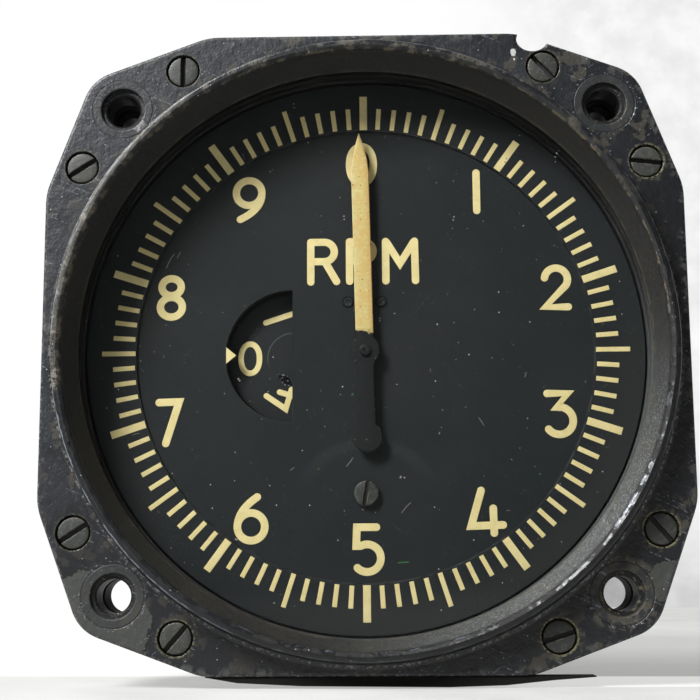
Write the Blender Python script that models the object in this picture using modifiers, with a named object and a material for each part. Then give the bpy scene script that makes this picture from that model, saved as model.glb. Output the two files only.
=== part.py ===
"""An electric aircraft tachometer indicator, as it comes apart on a bench.

Everything is drawn in the front view of the instrument: X to the right, Y up and
Z towards the viewer, with the pointer's axis as Z and the flange's front face at
Z = 0. Depths are counted backwards from that face. One empty carries the whole
assembly and turns it to stand on its flange, so that the dial looks along -Y.
"""
import math

import bmesh
import bpy
from mathutils import Matrix, Vector

MM = 0.001

# Clearances
GAP = 0.3 * MM          # between pieces that touch
RUN = 0.08 * MM         # radial running clearance of a shaft in its bush
STAND_OFF = 0.05 * MM   # keeps a united shape's end off its carrier's own face

# Square flange, shared by the bezel, its gasket and the case
MOUNT_HALF = 31.43 * MM        # mounting holes on a 62.86 mm square
MOUNT_TO_SIDE = 9.87 * MM      # from a mounting hole's middle to the flange's side
MOUNT_TO_FLAT = 11.13 * MM     # and to where the side's straight part ends
MOUNT_BORE_R = 2.15 * MM
MOUNT_SINK_R = 2.8 * MM
MOUNT_SINK_DEPTH = 0.65 * MM
CORNER_R = 5.4 * MM
NOTCH_FROM_HOLE = 9.08 * MM    # the notch's middle, inwards along the side
NOTCH_FROM_SIDE = 0.75 * MM
NOTCH_RADII = (2.05 * MM, 1.7 * MM)

# Bezel: every radius steps inwards from the flange's side
BEZEL_T = 4.6 * MM
RIM_PROUD = 3.0 * MM
RING_TO_SIDE = 0.6 * MM
RING_FILLET = 1.1 * MM
RING_SPREAD = 1.2 * MM         # the fillet's foot, outside the rim's wall
RIM_WIDTH = 1.2 * MM
RIM_EDGE = 0.2 * MM
THROAT_TAPER = 1.4 * MM
THROAT_DEPTH = 2.0 * MM

# Bezel screws, two beside each mounting hole
SCREW_INWARD = 7.83 * MM       # from the mounting hole, along the side
SCREW_OUTWARD = 5.17 * MM      # and towards the side
SCREW_HEAD_R = 2.0 * MM
SCREW_HEAD_H = 1.5 * MM
SCREW_SHANK_R = 1.25 * MM
SCREW_SINK_GAP = 0.35 * MM     # between the head and its sink's wall
SCREW_SINK_DEPTH = 2.0 * MM
SCREW_GRIP = 1.0 * MM          # the screw's end stops this far short of the case flange's back
SLOT_W = 0.6 * MM
SLOT_DEPTH = 0.7 * MM
HEAD_EDGE = 0.2 * MM           # chamfer round every slotted head
SLOT_TURNS = (-47, -6, -50, 17, 49, 33, 33, 90)   # degrees, clockwise from the top right

# Glass and its seals
GLASS_LAP = 1.7 * MM           # the glass reaches this far behind the throat's edge
GLASS_T = 1.6 * MM
GASKET_T = 0.8 * MM
SEAL_SHY = 0.2 * MM            # the seal stays this far back from the throat's edge

# Case
CASE_FLANGE_T = 4.5 * MM
MOUTH_LAP = 1.6 * MM           # the case's front edge carries this much of the glass
CASE_LIP = 1.2 * MM            # wall round the mouth
CASE_DRAFT = 0.8 * MM          # the outside draws in this much towards the rear
CASE_WALL = 2.0 * MM           # at the rear, behind the shoulder of the front plate
CASE_REAR_ROUND = 4.0 * MM
CASE_REAR_T = 3.0 * MM
BOSS_R = 2.6 * MM
BOSS_INSET = 2.0 * MM          # from the case's bore to the bosses' middle
BOSS_LENGTH = 14.0 * MM

# Dial and window
DIAL_T = 1.4 * MM
DIAL_STEP = 0.4 * MM
DIAL_STEP_R = 30.1 * MM
WINDOW_R = 8.77 * MM
INDEX_REACH = 1.35 * MM
INDEX_HALF = 1.15 * MM
DIAL_BORE_R = 1.2 * MM         # clears the pointer's arbor
DIAL_SCREW_Y = -18.58 * MM
DIAL_SCREW_HEAD_R = 1.65 * MM
DIAL_SCREW_HEAD_H = 0.55 * MM
DIAL_SCREW_SHANK_R = 0.9 * MM
DIAL_SLOT_W = 0.45 * MM
DIAL_SLOT_DEPTH = 0.33 * MM
DIAL_SCREW_TURN = 80           # degrees
DIAL_POST_R = 2.4 * MM
FOOT_X = 2.34 * MM
FOOT_Y = 6.7 * MM
FOOT_HEAD_R = 1.1 * MM
FOOT_HEAD_H = 0.12 * MM
FOOT_SHANK_R = 0.7 * MM

# Pointer
POINTER_T = 0.4 * MM
POINTER_LIFT = 0.8 * MM        # behind the pointer's back, to the dial ring's front
POINTER_TIP = 3.4 * MM         # the blade's point, from its shoulders
POINTER_SHOULDER = 26.1 * MM
POINTER_HALF = 1.17 * MM
POINTER_TAIL = 11.4 * MM
POINTER_DISC_R = 1.93 * MM
POINTER_BOSS_R = 0.78 * MM
POINTER_BOSS_H = 0.45 * MM
POINTER_REST_TURN = 1.2        # degrees anticlockwise of the zero mark

# Thousands disc and its arbor, beside the pointer's axis
ARBOR_X = -9.6 * MM
ARBOR_Y = -0.4 * MM
DISC_SHY = 0.17 * MM           # the disc stays this far inside the window's edge
DISC_T = 0.5 * MM
DISC_SINK = 1.2 * MM           # from the dial's back to the disc
DISC_HUB_WALL = 0.9 * MM
DISC_HUB_H = 0.8 * MM
DISC_SOCKET = 0.2 * MM         # the hub's blind bore reaches this far into the disc
ARBOR_R = 1.1 * MM
ARBOR_TIP_R = 0.6 * MM
JOURNAL_R = 0.8 * MM
PIVOT_R = 0.4 * MM
POINTER_TIP_R = 0.5 * MM

# Gear train: pointer pinion, its wheel, and an equal pair down to the drag staff
PINION_TEETH = 8
MAIN_TEETH = 40
STAFF_TEETH = 24
PRESSURE_ANGLE = math.radians(25)
ADDENDUM = 0.8                 # in modules
DEDENDUM = 1.1                 # in modules
BACKLASH = 0.05 * MM
WHEEL_T = 1.2 * MM
STAFF_WHEEL_T = 1.0 * MM
PINION_OVERHANG = 0.3 * MM

# Movement plates
DISC_TO_PLATE = 0.8 * MM       # from the thousands disc's hub to the front plate
PLATE_T = 1.5 * MM
BUSH_WALL = 1.0 * MM
BUSH_FLANGE = 1.0 * MM
BUSH_FLANGE_T = 0.4 * MM
PINION_TO_BRIDGE = 0.7 * MM
BRIDGE_T = 1.2 * MM
BRIDGE_X = 1.2 * MM
BRIDGE_HALF_LENGTH = 13.6 * MM
BRIDGE_HALF_WIDTH = 3.4 * MM
BRIDGE_POST_INSET = 2.6 * MM   # from the bridge's end to its post
BRIDGE_POST_R = 2.0 * MM
TENON_R = 1.0 * MM
BOSS_CLEARANCE = 0.8 * MM      # between the middle plate and the case's bosses
PILLAR_R = 2.2 * MM
PILLAR_INSET = 4.0 * MM        # from the middle plate's edge to its pillars
PILLARS = 3
PILLAR_TURN = 30               # degrees, so that pillars stand between the bosses
MOVEMENT_SCREW_HEAD_R = 1.9 * MM
MOVEMENT_SCREW_HEAD_H = 1.2 * MM
MOVEMENT_SCREW_R = 1.0 * MM
MOVEMENT_SCREW_LENGTH = 10.0 * MM
MOVEMENT_SCREWS = 3
MOVEMENT_SCREW_TURN = 35       # degrees

# Drag staff, hairspring and drag disc
STAFF_R = 1.0 * MM
BRIDGE_TO_WHEEL = 1.4 * MM
WHEEL_TO_SPRING = 1.4 * MM
SPRING_H = 1.2 * MM
SPRING_TO_PLATE = 2.6 * MM
SPRING_T = 0.2 * MM
SPRING_SPREAD = 4.5 * MM       # from the innermost turn to the outermost
SPRING_TURNS = 4
COLLET_WALL = 0.8 * MM
STUD_R = 0.7 * MM
DRAG_DISC_T = 0.8 * MM
DRAG_HUB_WALL = 1.1 * MM
DRAG_HUB_H = 0.6 * MM

# Drag magnet assembly, turned by the motor
PLATE_TO_KEEPER = 1.5 * MM
KEEPER_LAP = 3.4 * MM          # the keeper reaches this far past the drag disc
KEEPER_TO_POSTS = 3.3 * MM     # air between the keeper and the motor's posts
KEEPER_T = 1.2 * MM
KEEPER_BORE_R = 3.5 * MM
AIR_GAP = 1.0 * MM             # on each side of the drag disc
MAGNET_R = 2.5 * MM
MAGNET_LENGTH = 4.0 * MM
MAGNET_INSET = 3.5 * MM        # from the drag disc's edge to the magnets' middle
MAGNET_COUNT = 6
MAGNET_PLATE_T = 1.7 * MM
MAGNET_HUB_WALL = 2.2 * MM
MAGNET_HUB_H = 1.8 * MM
SPACER_INSET = 1.5 * MM        # from the keeper's edge to its spacers
SPACER_R = 1.2 * MM
SPACER_TENON_R = 0.7 * MM
SPACERS = 3

# Synchronous motor
HUB_TO_BELL = 1.2 * MM
BELL_TO_CASE = 8.9 * MM        # air round the motor
SHAFT_R = 1.5 * MM
BELL_T = 2.5 * MM
BELL_LAP = 3.0 * MM            # the bells reach this far past the bolts' circle
BEARING_WALL = 3.1 * MM
HOUSING_WALL = 1.7 * MM
HOUSING_LENGTH = 21.9 * MM
CORE_TO_END = 3.95 * MM        # room for the coils at each end of the housing
CORE_YOKE = 3.4 * MM
CORE_SLOT = 4.6 * MM           # depth of the slots behind the shoes
CORE_TEETH = 6
TOOTH_HALF_ANGLE = math.radians(14.75)
SHOE_T = 1.4 * MM
SHOE_HALF_ANGLE = math.radians(25)
ROTOR_AIR = 0.6 * MM
COIL_HALF_ANGLE = math.radians(31.4)   # neighbouring coils touch at the shoes
COIL_END = 2.6 * MM
COIL_ROUND = 1.6 * MM
BOLT_GAP = 1.2 * MM            # between the housing and the bolts
BOLT_R = 1.3 * MM
BOLT_HEAD_R = 2.2 * MM
BOLT_HEAD_H = 1.8 * MM
BOLTS = 3
MOTOR_SPACER_R = 2.8 * MM
LEAD_R = 0.5 * MM
LEAD_SPREAD = 1.3 * MM
LEAD_STRAIGHT = 3.0 * MM       # the last stretch before a solder tail
LEAD_HOLE_R = 2.2 * MM
LEAD_INSET = 1.6 * MM          # the leads leave the coils this far inside their outer faces
LEAD_ROOM = 12.1 * MM          # from the motor to the solder tails

# Electrical receptacle at the rear
SOCKET_FLANGE_HALF = 12.7 * MM
SOCKET_FLANGE_T = 1.8 * MM
SOCKET_CORNER_R = 2.5 * MM
SOCKET_SCREW_INSET = 3.57 * MM
SOCKET_LAND = 4.76 * MM        # from the barrel to the flange's sides
SOCKET_WALL = 1.04 * MM
SOCKET_EDGE = 0.4 * MM         # chamfer round the barrel's mouth
SOCKET_REACH = 11.8 * MM       # barrel beyond the flange's rear face
SOCKET_TAIL = 5.0 * MM         # barrel through the case wall
SOCKET_SCREW_R = 1.2 * MM
SOCKET_SCREW_HEAD_R = 2.2 * MM
SOCKET_SCREW_HEAD_H = 1.3 * MM
SOCKET_SCREW_LENGTH = 5.5 * MM
SOCKET_SCREW_STEP = 25         # degrees that each slot is turned past the one before
INSERT_INSET = 9.0 * MM        # the insert's face lies this far inside the barrel's mouth
PIN_R = 0.8 * MM
PIN_NOSE = 0.4 * MM            # chamfer at the pins' tips
PIN_PITCH_SHARE = 0.515        # of the insert's radius
PIN_INSET = 4.6 * MM           # pin tips lie this far inside the barrel's mouth
PIN_TAIL = 4.0 * MM            # solder tails behind the insert
PIN_COUNT = 3

# Flange, bezel and glass, from the mounting holes inwards
FLANGE_HALF = MOUNT_HALF + MOUNT_TO_SIDE
FLANGE_FLAT = MOUNT_HALF - MOUNT_TO_FLAT
NOTCH_AT = (MOUNT_HALF - NOTCH_FROM_HOLE, FLANGE_HALF - NOTCH_FROM_SIDE)
SCREW_NEAR = MOUNT_HALF - SCREW_INWARD
SCREW_FAR = MOUNT_HALF + SCREW_OUTWARD
SCREW_SINK_R = SCREW_HEAD_R + SCREW_SINK_GAP
RING_BASE_R = FLANGE_HALF - RING_TO_SIDE
RIM_OUT_R = RING_BASE_R - RING_SPREAD
RIM_IN_R = RIM_OUT_R - RIM_WIDTH
THROAT_R = RIM_IN_R - THROAT_TAPER
GLASS_R = THROAT_R + GLASS_LAP
SEAL_IN_R = THROAT_R + SEAL_SHY
CASE_MOUTH_R = GLASS_R - MOUTH_LAP
CASE_OUT_R = CASE_MOUTH_R + CASE_LIP
CASE_REAR_R = CASE_OUT_R - CASE_DRAFT
CASE_BORE_R = CASE_REAR_R - CASE_WALL
BOSS_PITCH_R = CASE_BORE_R - BOSS_INSET
DIAL_R = CASE_MOUTH_R - GAP

# Radii and heights of the movement
POINTER_REACH = POINTER_SHOULDER + POINTER_TIP
DISC_R = WINDOW_R - DISC_SHY
DISC_HUB_R = ARBOR_TIP_R + GAP + DISC_HUB_WALL
BRIDGE_POST_Y = BRIDGE_HALF_LENGTH - BRIDGE_POST_INSET
MIDDLE_PLATE_R = BOSS_PITCH_R - BOSS_R - BOSS_CLEARANCE
PILLAR_PITCH_R = MIDDLE_PLATE_R - PILLAR_INSET
GEAR_CENTRES = math.hypot(ARBOR_X, ARBOR_Y)
GEAR_MODULE = 2 * GEAR_CENTRES / (PINION_TEETH + MAIN_TEETH)
STAFF_MODULE = 2 * GEAR_CENTRES / (STAFF_TEETH + STAFF_TEETH)
LINE_OF_CENTRES = math.atan2(-ARBOR_Y, -ARBOR_X)
COLLET_R = STAFF_R + GAP + COLLET_WALL
SPRING_IN_R = COLLET_R + GAP + SPRING_T / 2
SPRING_OUT_R = SPRING_IN_R + SPRING_SPREAD
STUD_PITCH_R = SPRING_OUT_R + SPRING_T / 2 + GAP + STUD_R
DRAG_HUB_R = JOURNAL_R + GAP + DRAG_HUB_WALL
BELL_R = CASE_BORE_R - BELL_TO_CASE
BOLT_PITCH_R = BELL_R - BELL_LAP
HOUSING_OUT_R = BOLT_PITCH_R - BOLT_R - BOLT_GAP
HOUSING_BORE_R = HOUSING_OUT_R - HOUSING_WALL
CORE_OUT_R = HOUSING_BORE_R - GAP
YOKE_R = CORE_OUT_R - CORE_YOKE
SHOE_R = YOKE_R - CORE_SLOT
CORE_BORE_R = SHOE_R - SHOE_T
ROTOR_R = CORE_BORE_R - ROTOR_AIR
TOOTH_HALF = SHOE_R * math.sin(TOOTH_HALF_ANGLE)
COIL_IN_R = SHOE_R + GAP
COIL_OUT_R = YOKE_R * math.cos(math.pi / CORE_TEETH) + GAP
COIL_HALF_WIDTH = COIL_IN_R * math.tan(COIL_HALF_ANGLE)
CORE_LENGTH = HOUSING_LENGTH - 2 * CORE_TO_END
LEAD_HOLE_Y = COIL_OUT_R - LEAD_INSET
BEARING_OUT_R = SHAFT_R + RUN + BEARING_WALL
KEEPER_R = BOLT_PITCH_R - MOTOR_SPACER_R - KEEPER_TO_POSTS
DRAG_DISC_R = KEEPER_R - KEEPER_LAP
MAGNET_PITCH_R = DRAG_DISC_R - MAGNET_INSET
SPACER_PITCH_R = KEEPER_R - SPACER_INSET
MAGNET_HUB_R = SHAFT_R + GAP + MAGNET_HUB_WALL
SOCKET_SCREW_HALF = SOCKET_FLANGE_HALF - SOCKET_SCREW_INSET
SOCKET_OUT_R = SOCKET_FLANGE_HALF - SOCKET_LAND
SOCKET_BORE_R = SOCKET_OUT_R - SOCKET_WALL
INSERT_R = SOCKET_BORE_R - GAP
PIN_PITCH_R = PIN_PITCH_SHARE * INSERT_R

# Depths, each piece behind the one before it
GLASS_DEPTH = THROAT_DEPTH + GAP
SEAL_DEPTH = GLASS_DEPTH + GLASS_T + GAP
GASKET_DEPTH = BEZEL_T + GAP
CASE_DEPTH = GASKET_DEPTH + GASKET_T + GAP
DIAL_DEPTH = CASE_DEPTH + GAP
DIAL_FACE_DEPTH = DIAL_DEPTH + DIAL_STEP
DIAL_BACK_DEPTH = DIAL_DEPTH + DIAL_T
POINTER_DEPTH = DIAL_DEPTH - POINTER_LIFT - POINTER_T
DISC_DEPTH = DIAL_BACK_DEPTH + DISC_SINK
DISC_HUB_BACK = DISC_DEPTH + DISC_T + DISC_HUB_H
FRONT_PLATE_DEPTH = DISC_HUB_BACK + DISC_TO_PLATE
FRONT_PLATE_BACK = FRONT_PLATE_DEPTH + PLATE_T
SHOULDER_DEPTH = FRONT_PLATE_BACK + GAP
BUSH_BACK = SHOULDER_DEPTH + BUSH_FLANGE_T
PINION_DEPTH = BUSH_BACK + GAP
MAIN_WHEEL_DEPTH = PINION_DEPTH + PINION_OVERHANG
PINION_BACK = MAIN_WHEEL_DEPTH + WHEEL_T + PINION_OVERHANG
BRIDGE_DEPTH = PINION_BACK + PINION_TO_BRIDGE
BRIDGE_BACK = BRIDGE_DEPTH + BRIDGE_T
STAFF_WHEEL_DEPTH = BRIDGE_BACK + BRIDGE_TO_WHEEL
SPRING_DEPTH = STAFF_WHEEL_DEPTH + STAFF_WHEEL_T + WHEEL_TO_SPRING
MIDDLE_PLATE_DEPTH = SPRING_DEPTH + SPRING_H + SPRING_TO_PLATE
MIDDLE_PLATE_BACK = MIDDLE_PLATE_DEPTH + PLATE_T
KEEPER_DEPTH = MIDDLE_PLATE_BACK + PLATE_TO_KEEPER
KEEPER_BACK = KEEPER_DEPTH + KEEPER_T
DRAG_DISC_DEPTH = KEEPER_BACK + AIR_GAP
MAGNET_DEPTH = DRAG_DISC_DEPTH + DRAG_DISC_T + AIR_GAP
MAGNET_PLATE_DEPTH = MAGNET_DEPTH + MAGNET_LENGTH + GAP
MAGNET_PLATE_BACK = MAGNET_PLATE_DEPTH + MAGNET_PLATE_T
FRONT_BELL_DEPTH = MAGNET_PLATE_BACK + MAGNET_HUB_H + HUB_TO_BELL
FRONT_BELL_BACK = FRONT_BELL_DEPTH + BELL_T
HOUSING_DEPTH = FRONT_BELL_BACK + GAP
REAR_BELL_DEPTH = HOUSING_DEPTH + HOUSING_LENGTH + GAP
REAR_BELL_BACK = REAR_BELL_DEPTH + BELL_T
CORE_DEPTH = HOUSING_DEPTH + (HOUSING_LENGTH - CORE_LENGTH) / 2
COIL_BACK = CORE_DEPTH + CORE_LENGTH + GAP + COIL_END
PIN_TAIL_DEPTH = REAR_BELL_BACK + LEAD_ROOM
SOCKET_TAIL_DEPTH = PIN_TAIL_DEPTH + PIN_TAIL
SOCKET_FLANGE_DEPTH = SOCKET_TAIL_DEPTH + SOCKET_TAIL
SOCKET_FLANGE_BACK = SOCKET_FLANGE_DEPTH + SOCKET_FLANGE_T
SOCKET_GASKET_DEPTH = SOCKET_FLANGE_DEPTH - GAP - GASKET_T
CASE_REAR_DEPTH = SOCKET_GASKET_DEPTH - GAP
SOCKET_MOUTH = SOCKET_FLANGE_BACK + SOCKET_REACH
PIN_TIP = SOCKET_MOUTH - PIN_INSET
INSERT_FACE = SOCKET_MOUTH - INSERT_INSET

# Facets round a full turn
FACETS_LARGE = 32              # bezel, glass, dial and case
FACETS_DISC = 20               # discs and plates of the movement
FACETS_MEDIUM = 16             # receptacle and rotor
FACETS_FIT = 12                # shafts and the bushes they run in, screw heads and their sinks
FACETS_SMALL = 8               # small holes, posts, studs and hidden screws
WELD = 0.000001
LEVEL = math.radians(0.05)     # neighbouring facets flatter than this are one face
TOP = 90                       # degrees, where places on a circle start


def clear_scene():
    """Removes every object of the open file."""
    for obj in list(bpy.data.objects):
        bpy.data.objects.remove(obj, do_unlink=True)


def new_collection(name):
    """Returns a new collection that hangs on the scene."""
    collection = bpy.data.collections.new(name)
    bpy.context.scene.collection.children.link(collection)
    return collection


clear_scene()
PARTS = new_collection("aircraft_tachometer")
CUTTERS = new_collection("cutters")


def axis_empty(name, parent=None, x=0.0, y=0.0):
    """An empty on an axis of the movement; the pieces that turn about it hang on it."""
    empty = bpy.data.objects.new(name, None)
    empty.location = (x, y, 0)
    empty.parent = parent
    PARTS.objects.link(empty)
    return empty


def make_material(name, colour, roughness, metallic):
    """A plain Principled BSDF material."""
    material = bpy.data.materials.new(name)
    material.use_nodes = True
    shader = material.node_tree.nodes["Principled BSDF"]
    shader.inputs["Base Color"].default_value = (*colour, 1)
    shader.inputs["Roughness"].default_value = roughness
    shader.inputs["Metallic"].default_value = metallic
    return material


ENAMEL = make_material("black_enamel", (0.045, 0.05, 0.055), 0.45, 0.0)
CASE_PAINT = make_material("case_paint", (0.03, 0.032, 0.035), 0.6, 0.0)
BLACKED_STEEL = make_material("blacked_steel", (0.07, 0.07, 0.065), 0.45, 0.8)
GLASS = make_material("window_glass", (0.9, 0.95, 0.93), 0.05, 0.0)
SEAL_RUBBER = make_material("seal_rubber", (0.02, 0.02, 0.02), 0.85, 0.0)
DIAL_PAINT = make_material("dial_paint", (0.025, 0.028, 0.03), 0.6, 0.0)
POINTER_PAINT = make_material("pointer_paint", (0.78, 0.68, 0.35), 0.55, 0.0)
BRASS = make_material("brass", (0.72, 0.52, 0.22), 0.35, 1.0)
STEEL = make_material("steel", (0.55, 0.56, 0.58), 0.3, 1.0)
BLUED_SPRING = make_material("spring_bronze", (0.6, 0.42, 0.25), 0.3, 1.0)
ALUMINIUM = make_material("aluminium", (0.75, 0.76, 0.78), 0.35, 1.0)
MAGNET_ALLOY = make_material("magnet_alloy", (0.3, 0.3, 0.31), 0.5, 1.0)
LAMINATIONS = make_material("laminations", (0.2, 0.2, 0.22), 0.55, 0.9)
COPPER = make_material("copper_wire", (0.5, 0.2, 0.08), 0.4, 0.6)
INSULATOR = make_material("insulator", (0.05, 0.035, 0.03), 0.5, 0.0)
SILVERED = make_material("silvered_contact", (0.75, 0.74, 0.7), 0.25, 1.0)


def shade_round(mesh):
    """Smooth shading that keeps every edge sharper than thirty degrees."""
    mesh.shade_smooth()
    mesh.set_sharp_from_angle(angle=math.radians(30))


def add_object(name, mesh, carrier, collection=None):
    """Links a mesh as an object that hangs on the carrier."""
    obj = bpy.data.objects.new(name, mesh)
    obj.parent = carrier
    (collection or PARTS).objects.link(obj)
    return obj


def evaluated_mesh(obj):
    """The object's mesh with its modifiers, or a curve as a mesh."""
    bpy.context.view_layer.update()
    graph = bpy.context.evaluated_depsgraph_get()
    return bpy.data.meshes.new_from_object(obj.evaluated_get(graph))


def settle(obj):
    """Applies the object's modifiers, welds what they leave loose and shades it."""
    mesh = evaluated_mesh(obj)
    obj.modifiers.clear()
    obj.data = mesh
    body = bmesh.new()
    body.from_mesh(mesh)
    bmesh.ops.remove_doubles(body, verts=body.verts, dist=WELD)
    bmesh.ops.dissolve_degenerate(body, edges=body.edges, dist=WELD)
    bmesh.ops.dissolve_limit(
        body, angle_limit=LEVEL, verts=body.verts, edges=body.edges, delimit={"NORMAL"}
    )
    body.to_mesh(mesh)
    body.free()
    shade_round(mesh)
    return obj


def finish(obj, name, material):
    """Names a finished piece and gives it its material."""
    obj.name = name
    obj.data.name = name
    obj.data.materials.clear()
    obj.data.materials.append(material)
    return obj


def as_cutter(obj):
    """Moves an object to the cutters and hides it from the render."""
    for collection in list(obj.users_collection):
        collection.objects.unlink(obj)
    CUTTERS.objects.link(obj)
    obj.hide_render = True
    obj.display_type = "WIRE"
    return obj


def combine(target, other, operation):
    """Unites the other solid with the target, or cuts the target with it, and keeps it as a cutter."""
    as_cutter(other)
    modifier = target.modifiers.new(other.name, "BOOLEAN")
    modifier.operation = operation
    modifier.solver = "EXACT"
    modifier.object = other
    return settle(target)


def turned(name, profile, carrier, steps=FACETS_LARGE):
    """A solid turned about Z from (radius, depth) points that go once round its section."""
    points = [Vector((radius, 0, -depth)) for radius, depth in profile]
    twice_area = sum(a.x * b.z - b.x * a.z for a, b in zip(points, points[1:] + points[:1]))
    if twice_area > 0:
        points.reverse()
    on_axis = [index for index, point in enumerate(points) if point.x < WELD]
    if on_axis:
        start = next(i for i in on_axis if (i - 1) % len(points) in on_axis)
        points = points[start:] + points[:start]
    mesh = bpy.data.meshes.new(name)
    edges = [(i, i + 1) for i in range(len(points) - 1)]
    if not on_axis:
        edges.append((len(points) - 1, 0))
    mesh.from_pydata(points, edges, [])
    obj = add_object(name, mesh, carrier)
    screw = obj.modifiers.new("turn", "SCREW")
    screw.axis = "Z"
    screw.angle = math.tau
    screw.steps = steps
    screw.render_steps = steps
    screw.use_merge_vertices = True
    screw.merge_threshold = WELD
    return settle(obj)


def rod(name, radius, front, back, carrier, steps=FACETS_SMALL, x=0.0, y=0.0):
    """A plain cylinder between two depths."""
    body = bmesh.new()
    bmesh.ops.create_cone(
        body, cap_ends=True, segments=steps, radius1=radius, radius2=radius, depth=back - front
    )
    mesh = bpy.data.meshes.new(name)
    body.to_mesh(mesh)
    body.free()
    mesh.transform(Matrix.Translation((x, y, -(front + back) / 2)))
    shade_round(mesh)
    return add_object(name, mesh, carrier)


def rods(name, holes, carrier):
    """Several cylinders at once, each given as (x, y, radius, front, back, steps)."""
    whole = bmesh.new()
    for x, y, radius, front, back, steps in holes:
        place = Matrix.Translation((x, y, -(front + back) / 2))
        bmesh.ops.create_cone(
            whole, cap_ends=True, segments=steps, radius1=radius, radius2=radius,
            depth=back - front, matrix=place,
        )
    mesh = bpy.data.meshes.new(name)
    whole.to_mesh(mesh)
    whole.free()
    return add_object(name, mesh, carrier)


def drill(target, holes):
    """Cuts a list of round holes, as rods takes them, into a solid."""
    cutter = rods(target.name + "_holes", holes, target.parent)
    return combine(target, cutter, "DIFFERENCE")


def flat(name, loops, front, back, carrier):
    """A flat piece cut to closed outlines: the outer one first, then its holes.

    The outline is filled at millimetre scale and shrunk afterwards, because the
    fill runs together points that are closer than a few hundredths of a unit.
    """
    curve = bpy.data.curves.new(name, "CURVE")
    curve.dimensions = "2D"
    curve.fill_mode = "BOTH"
    curve.extrude = (back - front) / 2 / MM
    for loop in loops:
        spline = curve.splines.new("POLY")
        spline.points.add(len(loop) - 1)
        for point, (x, y) in zip(spline.points, loop):
            point.co = (x / MM, y / MM, 0, 1)
        spline.use_cyclic_u = True
    sketch = bpy.data.objects.new(name, curve)
    PARTS.objects.link(sketch)
    mesh = evaluated_mesh(sketch)
    bpy.data.objects.remove(sketch)
    mesh.transform(Matrix.Translation((0, 0, -(front + back) / 2)) @ Matrix.Scale(MM, 4))
    obj = add_object(name, mesh, carrier)
    return settle(obj)


def circle(radius, steps, x=0.0, y=0.0, start=0.0):
    """Points round a circle, anticlockwise."""
    turns = [start + math.tau * i / steps for i in range(steps)]
    return [(x + radius * math.cos(a), y + radius * math.sin(a)) for a in turns]


def arc(radius, first, last, steps, x=0.0, y=0.0):
    """Points along an arc between two angles in radians, ends included."""
    turns = [first + (last - first) * i / steps for i in range(steps + 1)]
    return [(x + radius * math.cos(a), y + radius * math.sin(a)) for a in turns]


def rounded_box(half_x, half_y, radius, steps=2):
    """The outline of a rectangle with round corners."""
    points = []
    for quarter, (sx, sy) in enumerate(((1, 1), (-1, 1), (-1, -1), (1, -1))):
        first = quarter * math.pi / 2
        corner = (sx * (half_x - radius), sy * (half_y - radius))
        points += arc(radius, first, first + math.pi / 2, steps, *corner)
    return points


def on_circle(radius, count, start=TOP):
    """Places spread evenly on a circle, the first at an angle in degrees."""
    turns = [math.radians(start + 360 * i / count) for i in range(count)]
    return [(radius * math.cos(a), radius * math.sin(a)) for a in turns]


def copies(name, mesh, places, carrier, material):
    """One object for each place, all of them sharing a mesh."""
    mesh.name = name
    mesh.materials.clear()
    mesh.materials.append(material)
    for number, place in enumerate(places, 1):
        add_object(f"{name}_{number}", mesh, carrier).matrix_basis = place


def take_mesh(obj):
    """Takes the mesh of an object that served only to make it."""
    mesh = obj.data
    bpy.data.objects.remove(obj)
    return mesh


def slotted_screw(head_r, head_h, shank_r, length, slot_w, slot_depth, carrier, steps=FACETS_SMALL):
    """A slotted cheese-head screw, its head's seat at depth 0 and its slot along X."""
    profile = [
        (0, -head_h), (head_r - HEAD_EDGE, -head_h), (head_r, HEAD_EDGE - head_h), (head_r, 0),
        (shank_r, 0), (shank_r, length), (0, length),
    ]
    screw = turned("screw", profile, carrier, steps)
    body = bmesh.new()
    place = Matrix.Translation((0, 0, head_h)) @ Matrix.Diagonal((3 * head_r, slot_w, 2 * slot_depth, 1))
    bmesh.ops.create_cube(body, size=1, matrix=place)
    mesh = bpy.data.meshes.new("slot")
    body.to_mesh(mesh)
    body.free()
    return take_mesh(combine(screw, add_object("slot", mesh, carrier), "DIFFERENCE"))


def placed(x, y, depth, degrees=0.0):
    """A place in the front view at a depth, turned anticlockwise."""
    return Matrix.Translation((x, y, -depth)) @ Matrix.Rotation(math.radians(degrees), 4, "Z")


def flange_outline(inset=0.0):
    """The flange: straight sides, slanting shoulders and an arc round each mounting hole."""
    half = FLANGE_HALF - inset
    arc_r = CORNER_R - inset
    reach = math.hypot(MOUNT_HALF - half, MOUNT_HALF - FLANGE_FLAT)
    slope = math.atan2(MOUNT_HALF - half, MOUNT_HALF - FLANGE_FLAT) + math.asin(arc_r / reach)
    first = math.pi / 2 + slope
    corner = [(FLANGE_FLAT, half)]
    corner += arc(arc_r, first, math.pi / 2 - first, 5, MOUNT_HALF, MOUNT_HALF)
    corner += [(half, FLANGE_FLAT)]
    points = []
    for quarter in range(4):
        turn = Matrix.Rotation(-quarter * math.pi / 2, 2)
        points += [tuple(turn @ Vector(point)) for point in corner]
    return points


def mount_places():
    """The four mounting holes."""
    return [(sx * MOUNT_HALF, sy * MOUNT_HALF) for sx in (-1, 1) for sy in (-1, 1)]


def screw_places():
    """The eight bezel screws, clockwise from the one right of the top."""
    quarter = [(SCREW_NEAR, SCREW_FAR), (SCREW_FAR, SCREW_NEAR)]
    places = []
    for turn in range(4):
        rotation = Matrix.Rotation(-turn * math.pi / 2, 2)
        places += [tuple(rotation @ Vector(point)) for point in quarter]
    return places


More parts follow.
